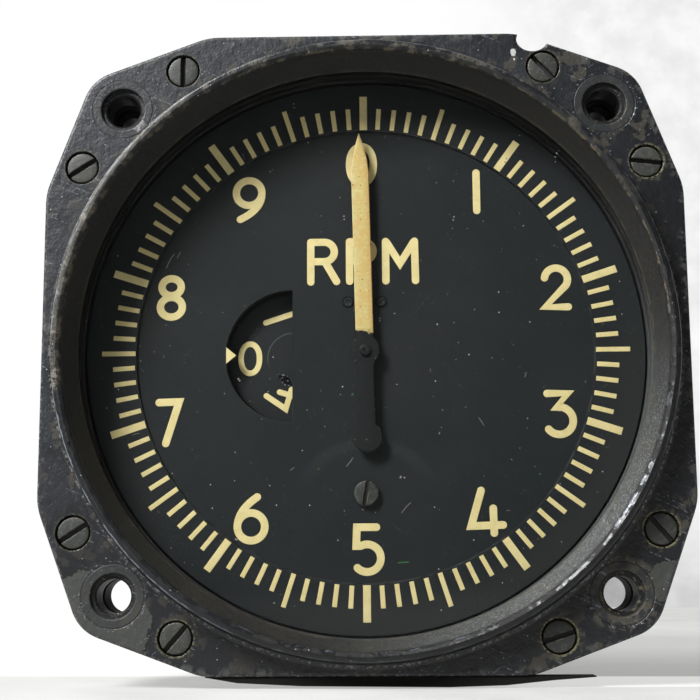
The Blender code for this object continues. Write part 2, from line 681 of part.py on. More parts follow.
def notch_cutter(carrier):
    """The round notch bitten out of the flange's top edge, through the whole stack."""
    notch = rod("notch", 1.0, -RIM_PROUD, CASE_DEPTH + 2 * CASE_FLANGE_T, carrier, FACETS_FIT)
    notch.data.transform(Matrix.Diagonal((*NOTCH_RADII, 1, 1)))
    notch.data.transform(Matrix.Translation((*NOTCH_AT, 0)))
    return notch


def front_bezel(carrier):
    """The cast front: a square flange with a proud ring round a tapered throat."""
    bezel = flat("front_bezel", [flange_outline()], 0, BEZEL_T, carrier)
    wall_r = RING_BASE_R - RING_FILLET
    fillet = arc(RING_FILLET, math.pi, math.tau * 0.75, 2, RING_BASE_R, RING_FILLET + STAND_OFF)
    ring = [(0, -RIM_PROUD), (RIM_OUT_R - RIM_EDGE, -RIM_PROUD), (RIM_OUT_R, RIM_EDGE - RIM_PROUD)]
    ring += [(max(x, wall_r), -height) for x, height in fillet]
    ring += [(RING_BASE_R, BEZEL_T / 2), (0, BEZEL_T / 2)]
    combine(bezel, turned("ring", ring, carrier), "UNION")
    beyond = 2 * RIM_PROUD
    throat = [
        (0, -beyond), (RIM_IN_R + RIM_EDGE, -beyond), (RIM_IN_R + RIM_EDGE, -RIM_PROUD),
        (RIM_IN_R, RIM_EDGE - RIM_PROUD), (THROAT_R, THROAT_DEPTH), (GLASS_R + GAP, THROAT_DEPTH),
        (GLASS_R + GAP, BEZEL_T + beyond), (0, BEZEL_T + beyond),
    ]
    combine(bezel, turned("throat", throat, carrier), "DIFFERENCE")
    holes = [(x, y, MOUNT_BORE_R, -beyond, BEZEL_T + beyond, FACETS_FIT) for x, y in mount_places()]
    for x, y in screw_places():
        holes.append((x, y, SCREW_SHANK_R + GAP, SCREW_SINK_DEPTH / 2, BEZEL_T + beyond, FACETS_SMALL))
    drill(bezel, holes)
    sinks = [(x, y, SCREW_SINK_R, -beyond, SCREW_SINK_DEPTH, FACETS_FIT) for x, y in screw_places()]
    sinks += [(x, y, MOUNT_SINK_R, -beyond, MOUNT_SINK_DEPTH, FACETS_FIT) for x, y in mount_places()]
    drill(bezel, sinks)
    combine(bezel, notch_cutter(carrier), "DIFFERENCE")
    return finish(bezel, "front_bezel", ENAMEL)


def bezel_screws(carrier):
    """Eight slotted screws that clamp bezel, gasket and case flange together."""
    seat = SCREW_SINK_DEPTH - GAP
    length = CASE_DEPTH + CASE_FLANGE_T - SCREW_GRIP - seat
    screw = slotted_screw(
        SCREW_HEAD_R, SCREW_HEAD_H, SCREW_SHANK_R, length, SLOT_W, SLOT_DEPTH, carrier, FACETS_FIT
    )
    places = [placed(x, y, seat, turn) for (x, y), turn in zip(screw_places(), SLOT_TURNS)]
    copies("bezel_screw", screw, places, carrier, BLACKED_STEEL)


def glass_and_seals(carrier):
    """The cover glass, the rubber ring behind it and the gasket between the flanges."""
    glass = rod("cover_glass", GLASS_R, GLASS_DEPTH, GLASS_DEPTH + GLASS_T, carrier, FACETS_LARGE)
    finish(glass, "cover_glass", GLASS)
    seal_back = CASE_DEPTH - GAP
    seal = [
        (SEAL_IN_R, SEAL_DEPTH), (GLASS_R, SEAL_DEPTH), (GLASS_R, seal_back), (SEAL_IN_R, seal_back),
    ]
    finish(turned("glass_seal", seal, carrier), "glass_seal", SEAL_RUBBER)
    bore = circle(GLASS_R + 2 * GAP, FACETS_LARGE)
    gasket = flat("flange_gasket", [flange_outline(GAP), bore], GASKET_DEPTH,
                  GASKET_DEPTH + GASKET_T, carrier)
    back = GASKET_DEPTH + GASKET_T + BEZEL_T
    holes = [(x, y, MOUNT_BORE_R, 0, back, FACETS_SMALL) for x, y in mount_places()]
    holes += [(x, y, SCREW_SHANK_R + GAP, 0, back, FACETS_SMALL) for x, y in screw_places()]
    drill(gasket, holes)
    combine(gasket, notch_cutter(carrier), "DIFFERENCE")
    finish(gasket, "flange_gasket", SEAL_RUBBER)


def case(carrier):
    """The cast cup that holds the movement, with the flange, shoulder and screw bosses."""
    cup = flat("case", [flange_outline()], CASE_DEPTH, CASE_DEPTH + CASE_FLANGE_T, carrier)
    flange_mid = CASE_DEPTH + CASE_FLANGE_T / 2
    rear_round = arc(
        CASE_REAR_ROUND, 0, math.pi / 2, 3,
        CASE_REAR_R - CASE_REAR_ROUND, CASE_REAR_DEPTH - CASE_REAR_ROUND,
    )
    outside = [(0, flange_mid), (CASE_OUT_R, flange_mid), (CASE_OUT_R, CASE_DEPTH + 2 * CASE_FLANGE_T)]
    outside += rear_round + [(0, CASE_REAR_DEPTH)]
    combine(cup, turned("outside", outside, carrier), "UNION")
    floor = CASE_REAR_DEPTH - CASE_REAR_T
    inside = [
        (0, 0), (CASE_MOUTH_R, 0), (CASE_MOUTH_R, SHOULDER_DEPTH), (CASE_BORE_R, SHOULDER_DEPTH),
        (CASE_BORE_R, floor), (0, floor),
    ]
    combine(cup, turned("inside", inside, carrier), "DIFFERENCE")
    boss_front = SHOULDER_DEPTH + STAND_OFF
    bosses = [
        (x, y, BOSS_R, boss_front, boss_front + BOSS_LENGTH, FACETS_SMALL)
        for x, y in on_circle(BOSS_PITCH_R, MOVEMENT_SCREWS)
    ]
    combine(cup, rods("bosses", bosses, carrier), "UNION")
    through = CASE_DEPTH + 2 * CASE_FLANGE_T
    holes = [(x, y, MOUNT_BORE_R, 0, through, FACETS_FIT) for x, y in mount_places()]
    holes += [(x, y, SCREW_SHANK_R + GAP, 0, through, FACETS_SMALL) for x, y in screw_places()]
    holes += [
        (x, y, MOVEMENT_SCREW_R + GAP, CASE_DEPTH, SHOULDER_DEPTH + MOVEMENT_SCREW_LENGTH, FACETS_SMALL)
        for x, y in on_circle(BOSS_PITCH_R, MOVEMENT_SCREWS)
    ]
    beyond = CASE_REAR_DEPTH + CASE_REAR_T
    holes.append((0, 0, SOCKET_OUT_R + GAP, floor - CASE_REAR_T, beyond, FACETS_MEDIUM))
    holes += [
        (x, y, SOCKET_SCREW_R + GAP, floor - CASE_REAR_T, beyond, FACETS_SMALL)
        for x, y in socket_screw_places()
    ]
    drill(cup, holes)
    combine(cup, notch_cutter(carrier), "DIFFERENCE")
    return finish(cup, "case", CASE_PAINT)


def window_outline():
    """The half-round window, its round side to the left, with the index tooth in it."""
    tooth = math.asin(INDEX_HALF / WINDOW_R)
    upper = arc(WINDOW_R, math.pi / 2, math.pi - tooth, 8, ARBOR_X, ARBOR_Y)
    lower = arc(WINDOW_R, math.pi + tooth, 1.5 * math.pi, 8, ARBOR_X, ARBOR_Y)
    tip = (ARBOR_X - WINDOW_R + INDEX_REACH, ARBOR_Y)
    return upper + [tip] + lower


def dial(carrier):
    """The dial with its sunk centre, its window and its riveted feet, and the screw that holds it."""
    outline = [circle(DIAL_R, FACETS_LARGE), window_outline(), circle(DIAL_BORE_R, FACETS_FIT)]
    plate = flat("dial_plate", outline, DIAL_DEPTH, DIAL_BACK_DEPTH, carrier)
    sink = rod("dial_centre", DIAL_STEP_R, DIAL_DEPTH - DIAL_T, DIAL_FACE_DEPTH, carrier, FACETS_LARGE)
    combine(plate, sink, "DIFFERENCE")
    collar_back = FRONT_PLATE_DEPTH - GAP
    seat = DIAL_FACE_DEPTH - GAP
    end = FRONT_PLATE_BACK - GAP
    foot_profile = [
        (0, DIAL_FACE_DEPTH - FOOT_HEAD_H), (FOOT_HEAD_R, DIAL_FACE_DEPTH - FOOT_HEAD_H),
        (FOOT_HEAD_R, collar_back), (FOOT_SHANK_R, collar_back), (FOOT_SHANK_R, end), (0, end),
    ]
    for side in (-1, 1):
        foot = turned("foot", foot_profile, carrier, FACETS_SMALL)
        foot.location = (side * FOOT_X, FOOT_Y, 0)
        combine(plate, foot, "UNION")
    drill(plate, [(0, DIAL_SCREW_Y, DIAL_SCREW_SHANK_R + GAP, 0, DIAL_BACK_DEPTH + DIAL_T, FACETS_SMALL)])
    finish(plate, "dial_plate", DIAL_PAINT)
    screw = slotted_screw(
        DIAL_SCREW_HEAD_R, DIAL_SCREW_HEAD_H, DIAL_SCREW_SHANK_R, end - seat,
        DIAL_SLOT_W, DIAL_SLOT_DEPTH, carrier, FACETS_FIT,
    )
    dial_screw = add_object("dial_screw", screw, carrier)
    dial_screw.matrix_basis = placed(0, DIAL_SCREW_Y, seat, DIAL_SCREW_TURN)
    finish(dial_screw, "dial_screw", BLACKED_STEEL)


def pointer(carrier):
    """The lance-shaped pointer with its hub disc, tail disc and pressed boss."""
    neck = math.asin(POINTER_HALF / POINTER_DISC_R)
    right = math.pi / 2 - neck
    blade = [(-POINTER_HALF, POINTER_SHOULDER), (0, POINTER_REACH), (POINTER_HALF, POINTER_SHOULDER)]
    blade = blade[::-1]
    hub_left = arc(POINTER_DISC_R, math.pi / 2 + neck, 1.5 * math.pi - neck, 5)
    hub_right = arc(POINTER_DISC_R, -right, right, 5)
    tail = arc(POINTER_DISC_R, math.pi - right, math.tau + right, 12, 0, -POINTER_TAIL)
    hand = flat("pointer", [blade + hub_left + tail + hub_right], POINTER_DEPTH,
                POINTER_DEPTH + POINTER_T, carrier)
    boss = rod("boss", POINTER_BOSS_R, POINTER_DEPTH - POINTER_BOSS_H, POINTER_DEPTH + POINTER_T / 2,
               carrier, FACETS_FIT)
    combine(hand, boss, "UNION")
    hand.data.transform(Matrix.Rotation(math.radians(POINTER_REST_TURN), 4, "Z"))
    return finish(hand, "pointer", POINTER_PAINT)


def involute_gear(teeth, module, phase):
    """The outline of a spur gear whose first tooth points along the angle phase.

    The flanks of a small pinion curve the most, so only it gets a point at the pitch circle.
    """
    pitch_r = teeth * module / 2
    base_r = pitch_r * math.cos(PRESSURE_ANGLE)
    tip_r = pitch_r + ADDENDUM * module
    root_r = pitch_r - DEDENDUM * module
    half_pitch = math.pi / 2 / teeth - BACKLASH / 4 / pitch_r
    spread = math.tan(PRESSURE_ANGLE) - PRESSURE_ANGLE

    def half_angle(radius):
        roll = math.acos(min(1.0, base_r / radius))
        return half_pitch + spread - (math.tan(roll) - roll)

    flank = [(root_r, half_angle(max(root_r, base_r)))]
    if teeth < STAFF_TEETH:
        flank.append((pitch_r, half_angle(pitch_r)))
    flank.append((tip_r, half_angle(tip_r)))
    points = []
    for tooth in range(teeth):
        centre = phase + math.tau * tooth / teeth
        points += [(r * math.cos(centre - a), r * math.sin(centre - a)) for r, a in flank]
        points += [(r * math.cos(centre + a), r * math.sin(centre + a)) for r, a in flank[::-1]]
    return points


def wheel(name, teeth, module, phase, bore_r, front, back, carrier):
    """A brass wheel with a round bore."""
    loops = [involute_gear(teeth, module, phase), circle(bore_r, FACETS_SMALL)]
    return finish(flat(name, loops, front, back, carrier), name, BRASS)


def pointer_arbor(carrier):
    """The steel arbor that carries the pointer, with its eight-leaf pinion cut in one."""
    phase = LINE_OF_CENTRES + math.pi + math.pi / PINION_TEETH
    leaves = involute_gear(PINION_TEETH, GEAR_MODULE, phase)
    arbor = flat("pointer_arbor", [leaves], PINION_DEPTH, PINION_BACK, carrier)
    tip = POINTER_DEPTH + POINTER_T + GAP
    journal_front = FRONT_PLATE_DEPTH - 2 * GAP
    pivot_end = BRIDGE_DEPTH + BRIDGE_T / 2 - GAP / 2
    shank = [
        (0, tip), (POINTER_TIP_R, tip), (POINTER_TIP_R, journal_front), (JOURNAL_R, journal_front),
        (JOURNAL_R, PINION_BACK + GAP), (PIVOT_R, PINION_BACK + GAP), (PIVOT_R, pivot_end), (0, pivot_end),
    ]
    combine(arbor, turned("shank", shank, carrier, FACETS_FIT), "UNION")
    return finish(arbor, "pointer_arbor", STEEL)


def thousands_disc(carrier):
    """The disc that shows the thousands in the window, with a blind hub behind it."""
    bore_r = ARBOR_TIP_R + GAP
    bore_front = DISC_DEPTH + DISC_T - DISC_SOCKET
    profile = [
        (0, DISC_DEPTH), (DISC_R, DISC_DEPTH), (DISC_R, DISC_DEPTH + DISC_T),
        (DISC_HUB_R, DISC_DEPTH + DISC_T), (DISC_HUB_R, DISC_HUB_BACK), (bore_r, DISC_HUB_BACK),
        (bore_r, bore_front), (0, bore_front),
    ]
    return finish(turned("thousands_disc", profile, carrier, FACETS_DISC), "thousands_disc", DIAL_PAINT)


def transfer_arbor(carrier):
    """The arbor beside the pointer, with its two wheels and the thousands disc on its nose."""
    nose = DISC_DEPTH + DISC_T - DISC_SOCKET + GAP
    journal_front = FRONT_PLATE_DEPTH - 2 * GAP
    shoulder = BUSH_BACK + GAP
    rear_shoulder = MIDDLE_PLATE_DEPTH - 2 * GAP
    end = MIDDLE_PLATE_BACK
    profile = [
        (0, nose), (ARBOR_TIP_R, nose), (ARBOR_TIP_R, journal_front), (JOURNAL_R, journal_front),
        (JOURNAL_R, shoulder), (ARBOR_R, shoulder), (ARBOR_R, rear_shoulder), (PIVOT_R, rear_shoulder),
        (PIVOT_R, end), (0, end),
    ]
    finish(turned("transfer_arbor", profile, carrier, FACETS_FIT), "transfer_arbor", STEEL)
    bore_r = ARBOR_R + GAP
    wheel("pointer_wheel", MAIN_TEETH, GEAR_MODULE, LINE_OF_CENTRES, bore_r,
          MAIN_WHEEL_DEPTH, MAIN_WHEEL_DEPTH + WHEEL_T, carrier)
    wheel("transfer_wheel", STAFF_TEETH, STAFF_MODULE, LINE_OF_CENTRES, bore_r,
          STAFF_WHEEL_DEPTH, STAFF_WHEEL_DEPTH + STAFF_WHEEL_T, carrier)
    thousands_disc(carrier)


def bush(name, bore_r, front, flange_front, carrier, x=0.0, y=0.0):
    """A flanged brass bush that sits in a movement plate from behind."""
    outer = bore_r + BUSH_WALL
    back = flange_front + BUSH_FLANGE_T
    profile = [
        (bore_r, front), (outer, front), (outer, flange_front), (outer + BUSH_FLANGE, flange_front),
        (outer + BUSH_FLANGE, back), (bore_r, back),
    ]
    piece = turned(name, profile, carrier, FACETS_FIT)
    piece.data.transform(Matrix.Translation((x, y, 0)))
    return finish(piece, name, BRASS)


def front_plate(carrier):
    """The movement's front plate, on the case's shoulder, with the bushes of both arbors."""
    bush_hole = JOURNAL_R + RUN + BUSH_WALL + GAP
    loops = [circle(DIAL_R, FACETS_LARGE), circle(bush_hole, FACETS_FIT)]
    loops.append(circle(bush_hole, FACETS_FIT, ARBOR_X, ARBOR_Y))
    loops += [circle(FOOT_SHANK_R + GAP, FACETS_SMALL, side * FOOT_X, FOOT_Y) for side in (-1, 1)]
    screws = on_circle(BOSS_PITCH_R, MOVEMENT_SCREWS)
    pillars = on_circle(PILLAR_PITCH_R, PILLARS, PILLAR_TURN)
    loops += [circle(MOVEMENT_SCREW_R + GAP, FACETS_SMALL, x, y) for x, y in screws]
    loops += [circle(TENON_R + GAP, FACETS_SMALL, x, y) for x, y in pillars]
    loops += [
        circle(TENON_R + GAP, FACETS_SMALL, BRIDGE_X, side * BRIDGE_POST_Y) for side in (-1, 1)
    ]
    plate = flat("front_plate", loops, FRONT_PLATE_DEPTH, FRONT_PLATE_BACK, carrier)
    post = rod("dial_post", DIAL_POST_R, DIAL_BACK_DEPTH + GAP, FRONT_PLATE_DEPTH + PLATE_T / 2,
               carrier, FACETS_SMALL, 0, DIAL_SCREW_Y)
    combine(plate, post, "UNION")
    drill(plate, [(0, DIAL_SCREW_Y, DIAL_SCREW_SHANK_R + GAP, 0, FRONT_PLATE_BACK + PLATE_T, FACETS_SMALL)])
    finish(plate, "front_plate", BRASS)
    bore_r = JOURNAL_R + RUN
    front = FRONT_PLATE_DEPTH - GAP
    bush("pointer_bush", bore_r, front, SHOULDER_DEPTH, carrier)
    bush("arbor_front_bush", bore_r, front, SHOULDER_DEPTH, carrier, ARBOR_X, ARBOR_Y)
    screw = slotted_screw(
        MOVEMENT_SCREW_HEAD_R, MOVEMENT_SCREW_HEAD_H, MOVEMENT_SCREW_R,
        MOVEMENT_SCREW_LENGTH, SLOT_W, SLOT_DEPTH, carrier,
    )
    places = [placed(x, y, FRONT_PLATE_DEPTH - GAP, MOVEMENT_SCREW_TURN) for x, y in screws]
    copies("movement_screw", screw, places, carrier, STEEL)


def add_posts(plate, radius, tenon_r, tenon_end, shoulder, root, places):
    """Grows turned posts on a plate, each with a reduced tenon at its free end."""
    profile = [
        (0, tenon_end), (tenon_r, tenon_end), (tenon_r, shoulder), (radius, shoulder),
        (radius, root), (0, root),
    ]
    for x, y in places:
        post = turned("post", profile, plate.parent, FACETS_SMALL)
        post.location = (x, y, 0)
        combine(plate, post, "UNION")


def centre_bridge(carrier):
    """The bridge on two posts that holds the inner pivots of pointer arbor and drag staff."""
    length = BRIDGE_HALF_LENGTH - BRIDGE_HALF_WIDTH
    outline = arc(BRIDGE_HALF_WIDTH, 0, math.pi, 8, BRIDGE_X, length)
    outline += arc(BRIDGE_HALF_WIDTH, math.pi, math.tau, 8, BRIDGE_X, -length)
    loops = [outline, circle(PIVOT_R + RUN, FACETS_FIT)]
    bridge = flat("centre_bridge", loops, BRIDGE_DEPTH, BRIDGE_BACK, carrier)
    places = [(BRIDGE_X, side * BRIDGE_POST_Y) for side in (-1, 1)]
    add_posts(bridge, BRIDGE_POST_R, TENON_R, FRONT_PLATE_DEPTH + GAP, SHOULDER_DEPTH,
              BRIDGE_DEPTH + BRIDGE_T / 2, places)
    finish(bridge, "centre_bridge", BRASS)


def middle_plate(carrier):
    """The plate behind the gears with its riveted pillars, hairspring stud and two bushes."""
    staff_hole = JOURNAL_R + RUN + BUSH_WALL + GAP
    arbor_hole = PIVOT_R + RUN + BUSH_WALL + GAP
    loops = [circle(MIDDLE_PLATE_R, FACETS_DISC), circle(staff_hole, FACETS_FIT)]
    loops.append(circle(arbor_hole, FACETS_FIT, ARBOR_X, ARBOR_Y))
    loops += [circle(BOLT_R + GAP, FACETS_SMALL, x, y) for x, y in on_circle(BOLT_PITCH_R, BOLTS)]
    plate = flat("middle_plate", loops, MIDDLE_PLATE_DEPTH, MIDDLE_PLATE_BACK, carrier)
    root = MIDDLE_PLATE_DEPTH + PLATE_T / 2
    add_posts(plate, PILLAR_R, TENON_R, FRONT_PLATE_DEPTH + GAP, SHOULDER_DEPTH, root,
              on_circle(PILLAR_PITCH_R, PILLARS, PILLAR_TURN))
    stud = rod("hairspring_stud", STUD_R, SPRING_DEPTH - GAP, root, carrier, y=STUD_PITCH_R)
    combine(plate, stud, "UNION")
    finish(plate, "middle_plate", BRASS)
    front = MIDDLE_PLATE_DEPTH
    flange = MIDDLE_PLATE_BACK + GAP
    bush("staff_bush", JOURNAL_R + RUN, front, flange, carrier)
    bush("arbor_rear_bush", PIVOT_R + RUN, front, flange, carrier, ARBOR_X, ARBOR_Y)


def hairspring(carrier):
    """A flat spiral of strip that returns the drag staff to zero, from collet to stud."""
    steps = 12 * SPRING_TURNS
    body = bmesh.new()
    for i in range(steps + 1):
        share = i / steps
        turn = math.pi / 2 + math.tau * SPRING_TURNS * share
        radius = SPRING_IN_R + (SPRING_OUT_R - SPRING_IN_R) * share
        body.verts.new((radius * math.cos(turn), radius * math.sin(turn), -SPRING_DEPTH))
    body.verts.ensure_lookup_table()
    for i in range(steps):
        body.edges.new((body.verts[i], body.verts[i + 1]))
    lifted = bmesh.ops.extrude_edge_only(body, edges=body.edges[:])["geom"]
    top = [item for item in lifted if isinstance(item, bmesh.types.BMVert)]
    bmesh.ops.translate(body, verts=top, vec=(0, 0, -SPRING_H))
    mesh = bpy.data.meshes.new("hairspring")
    body.to_mesh(mesh)
    body.free()
    strip = add_object("hairspring", mesh, carrier)
    thicken = strip.modifiers.new("strip", "SOLIDIFY")
    thicken.thickness = SPRING_T
    thicken.offset = 0
    return finish(settle(strip), "hairspring", BLUED_SPRING)


def drag_staff(carrier):
    """The staff that the drag disc turns, with its wheel and the hairspring's collet."""
    front = BRIDGE_DEPTH + BRIDGE_T / 2 + GAP / 2
    shoulder = BRIDGE_BACK + GAP
    rear_shoulder = MIDDLE_PLATE_DEPTH - GAP
    end = DRAG_DISC_DEPTH + DRAG_DISC_T
    profile = [
        (0, front), (PIVOT_R, front), (PIVOT_R, shoulder), (STAFF_R, shoulder),
        (STAFF_R, rear_shoulder), (JOURNAL_R, rear_shoulder), (JOURNAL_R, end), (0, end),
    ]
    finish(turned("drag_staff", profile, carrier, FACETS_FIT), "drag_staff", STEEL)
    phase = LINE_OF_CENTRES + math.pi + math.pi / STAFF_TEETH
    wheel("staff_wheel", STAFF_TEETH, STAFF_MODULE, phase, STAFF_R + GAP,
          STAFF_WHEEL_DEPTH, STAFF_WHEEL_DEPTH + STAFF_WHEEL_T, carrier)
    bore_r = STAFF_R + GAP
    back = SPRING_DEPTH + SPRING_H
    collet = [(bore_r, SPRING_DEPTH), (COLLET_R, SPRING_DEPTH), (COLLET_R, back), (bore_r, back)]
    finish(turned("hairspring_collet", collet, carrier, FACETS_FIT), "hairspring_collet", BRASS)
    hub_front = DRAG_DISC_DEPTH - DRAG_HUB_H
    hub_bore = JOURNAL_R + GAP
    disc_back = DRAG_DISC_DEPTH + DRAG_DISC_T
    disc = [
        (hub_bore, hub_front), (DRAG_HUB_R, hub_front), (DRAG_HUB_R, DRAG_DISC_DEPTH),
        (DRAG_DISC_R, DRAG_DISC_DEPTH), (DRAG_DISC_R, disc_back), (hub_bore, disc_back),
    ]
    finish(turned("drag_disc", disc, carrier, FACETS_DISC), "drag_disc", ALUMINIUM)


def drag_magnet(carrier):
    """The magnets on their plate, and the keeper that closes their field across the drag disc."""
    spacers = on_circle(SPACER_PITCH_R, SPACERS)
    tenon_holes = [circle(SPACER_TENON_R + GAP, FACETS_SMALL, x, y) for x, y in spacers]
    keeper = [circle(KEEPER_R, FACETS_DISC), circle(KEEPER_BORE_R, FACETS_FIT)] + tenon_holes
    finish(flat("keeper_plate", keeper, KEEPER_DEPTH, KEEPER_BACK, carrier), "keeper_plate", STEEL)
    plate = flat("magnet_carrier", [circle(KEEPER_R, FACETS_DISC)], MAGNET_PLATE_DEPTH,
                 MAGNET_PLATE_BACK, carrier)
    hub = rod("hub", MAGNET_HUB_R, MAGNET_PLATE_BACK - MAGNET_PLATE_T / 2,
              MAGNET_PLATE_BACK + MAGNET_HUB_H, carrier, FACETS_FIT)
    combine(plate, hub, "UNION")
    root = MAGNET_PLATE_DEPTH + MAGNET_PLATE_T / 2
    slugs = [
        (x, y, MAGNET_R, MAGNET_DEPTH, root, FACETS_SMALL)
        for x, y in on_circle(MAGNET_PITCH_R, MAGNET_COUNT)
    ]
    combine(plate, rods("slugs", slugs, carrier), "UNION")
    add_posts(plate, SPACER_R, SPACER_TENON_R, KEEPER_DEPTH, KEEPER_BACK + GAP, root, spacers)
    drill(plate, [(0, 0, SHAFT_R + GAP, MAGNET_PLATE_DEPTH - MAGNET_PLATE_T,
                   MAGNET_PLATE_BACK + 2 * MAGNET_HUB_H, FACETS_FIT)])
    finish(plate, "magnet_carrier", MAGNET_ALLOY)


def rotor(carrier):
    """The permanent-magnet rotor on the motor shaft."""
    front = MAGNET_PLATE_DEPTH
    back = REAR_BELL_BACK + GAP
    finish(rod("rotor_shaft", SHAFT_R, front, back, carrier, FACETS_FIT), "rotor_shaft", STEEL)
    bore_r = SHAFT_R + GAP
    core_back = CORE_DEPTH + CORE_LENGTH
    profile = [(bore_r, CORE_DEPTH), (ROTOR_R, CORE_DEPTH), (ROTOR_R, core_back), (bore_r, core_back)]
    finish(turned("rotor", profile, carrier, FACETS_MEDIUM), "rotor", MAGNET_ALLOY)


def stator_slots():
    """The inner outline of the stator: six necked teeth with wide shoes round the rotor."""
    neck_at_shoe = math.asin(TOOTH_HALF / SHOE_R)
    neck_at_yoke = math.asin(TOOTH_HALF / YOKE_R)
    pitch = math.tau / CORE_TEETH
    points = []
    for tooth in range(CORE_TEETH):
        middle = math.pi / 2 + pitch * tooth
        points += arc(CORE_BORE_R, middle - SHOE_HALF_ANGLE, middle + SHOE_HALF_ANGLE, 3)
        points += arc(SHOE_R, middle + SHOE_HALF_ANGLE, middle + neck_at_shoe, 1)
        points += arc(YOKE_R, middle + neck_at_yoke, middle + pitch - neck_at_yoke, 2)
        points += arc(SHOE_R, middle + pitch - neck_at_shoe, middle + pitch - SHOE_HALF_ANGLE, 1)
    return points


def stator(carrier):
    """The laminated stator with its coils, in the housing between two end bells."""
    core_back = CORE_DEPTH + CORE_LENGTH
    loops = [circle(CORE_OUT_R, FACETS_DISC), stator_slots()]
    finish(flat("stator_core", loops, CORE_DEPTH, core_back, carrier), "stator_core", LAMINATIONS)
    half_length = CORE_LENGTH / 2 + GAP
    coil_loops = [
        rounded_box(COIL_HALF_WIDTH, half_length + COIL_END, COIL_ROUND, 1),
        rounded_box(TOOTH_HALF + GAP, half_length, GAP, 1),
    ]
    coil = take_mesh(flat("coil", coil_loops, COIL_IN_R, COIL_OUT_R, carrier))
    stand_up = Matrix.Rotation(math.pi / 2, 4, "X")
    middle = Matrix.Translation((0, 0, -(CORE_DEPTH + CORE_LENGTH / 2)))
    winding = None
    for number in range(CORE_TEETH):
        turn = Matrix.Rotation(math.tau * number / CORE_TEETH, 4, "Z")
        mesh = coil.copy()
        mesh.transform(middle @ turn @ stand_up)
        one = add_object("coil", mesh, carrier)
        winding = combine(winding, one, "UNION") if winding else one
    for lead in stator_leads(carrier):
        combine(winding, lead, "UNION")
    finish(winding, "stator_winding", COPPER)
    back = HOUSING_DEPTH + HOUSING_LENGTH
    tube = [
        (HOUSING_BORE_R, HOUSING_DEPTH), (HOUSING_OUT_R, HOUSING_DEPTH), (HOUSING_OUT_R, back),
        (HOUSING_BORE_R, back),
    ]
    finish(turned("motor_housing", tube, carrier, FACETS_DISC), "motor_housing", ALUMINIUM)


def end_bells(carrier):
    """The bells that hold the motor's bearings, and the bolts that tie it to the middle plate."""
    bolts = on_circle(BOLT_PITCH_R, BOLTS)
    bolt_holes = [circle(BOLT_R + GAP, FACETS_SMALL, x, y) for x, y in bolts]
    seat = circle(BEARING_OUT_R + GAP, FACETS_FIT)
    loops = [circle(BELL_R, FACETS_DISC), seat]
    lead_hole = circle(LEAD_HOLE_R, FACETS_SMALL, 0, LEAD_HOLE_Y)
    front = flat("front_bell", loops, FRONT_BELL_DEPTH, FRONT_BELL_BACK, carrier)
    legs = [
        (x, y, MOTOR_SPACER_R, MIDDLE_PLATE_BACK + GAP, FRONT_BELL_DEPTH + BELL_T / 2, FACETS_SMALL)
        for x, y in bolts
    ]
    combine(front, rods("legs", legs, carrier), "UNION")
    drill(front, [(x, y, BOLT_R + GAP, MIDDLE_PLATE_DEPTH, REAR_BELL_DEPTH, FACETS_SMALL) for x, y in bolts])
    finish(front, "front_bell", ALUMINIUM)
    rear = flat("rear_bell", loops + bolt_holes + [lead_hole], REAR_BELL_DEPTH, REAR_BELL_BACK, carrier)
    finish(rear, "rear_bell", ALUMINIUM)
    bore_r = SHAFT_R + RUN
    race = [(bore_r, 0), (BEARING_OUT_R, 0), (BEARING_OUT_R, BELL_T), (bore_r, BELL_T)]
    bearing = take_mesh(turned("bearing", race, carrier, FACETS_FIT))
    places = [placed(0, 0, FRONT_BELL_DEPTH), placed(0, 0, REAR_BELL_DEPTH)]
    copies("motor_bearing", bearing, places, carrier, STEEL)
    head_seat = REAR_BELL_BACK + GAP
    length = head_seat - MIDDLE_PLATE_DEPTH
    bolt = slotted_screw(BOLT_HEAD_R, BOLT_HEAD_H, BOLT_R, length, SLOT_W, SLOT_DEPTH, carrier)
    flip = Matrix.Rotation(math.pi, 4, "X")
    copies("motor_bolt", bolt, [placed(x, y, head_seat) @ flip for x, y in bolts], carrier, STEEL)


def socket_screw_places():
    """The four screws of the receptacle's square flange."""
    return [(sx * SOCKET_SCREW_HALF, sy * SOCKET_SCREW_HALF) for sx in (-1, 1) for sy in (-1, 1)]


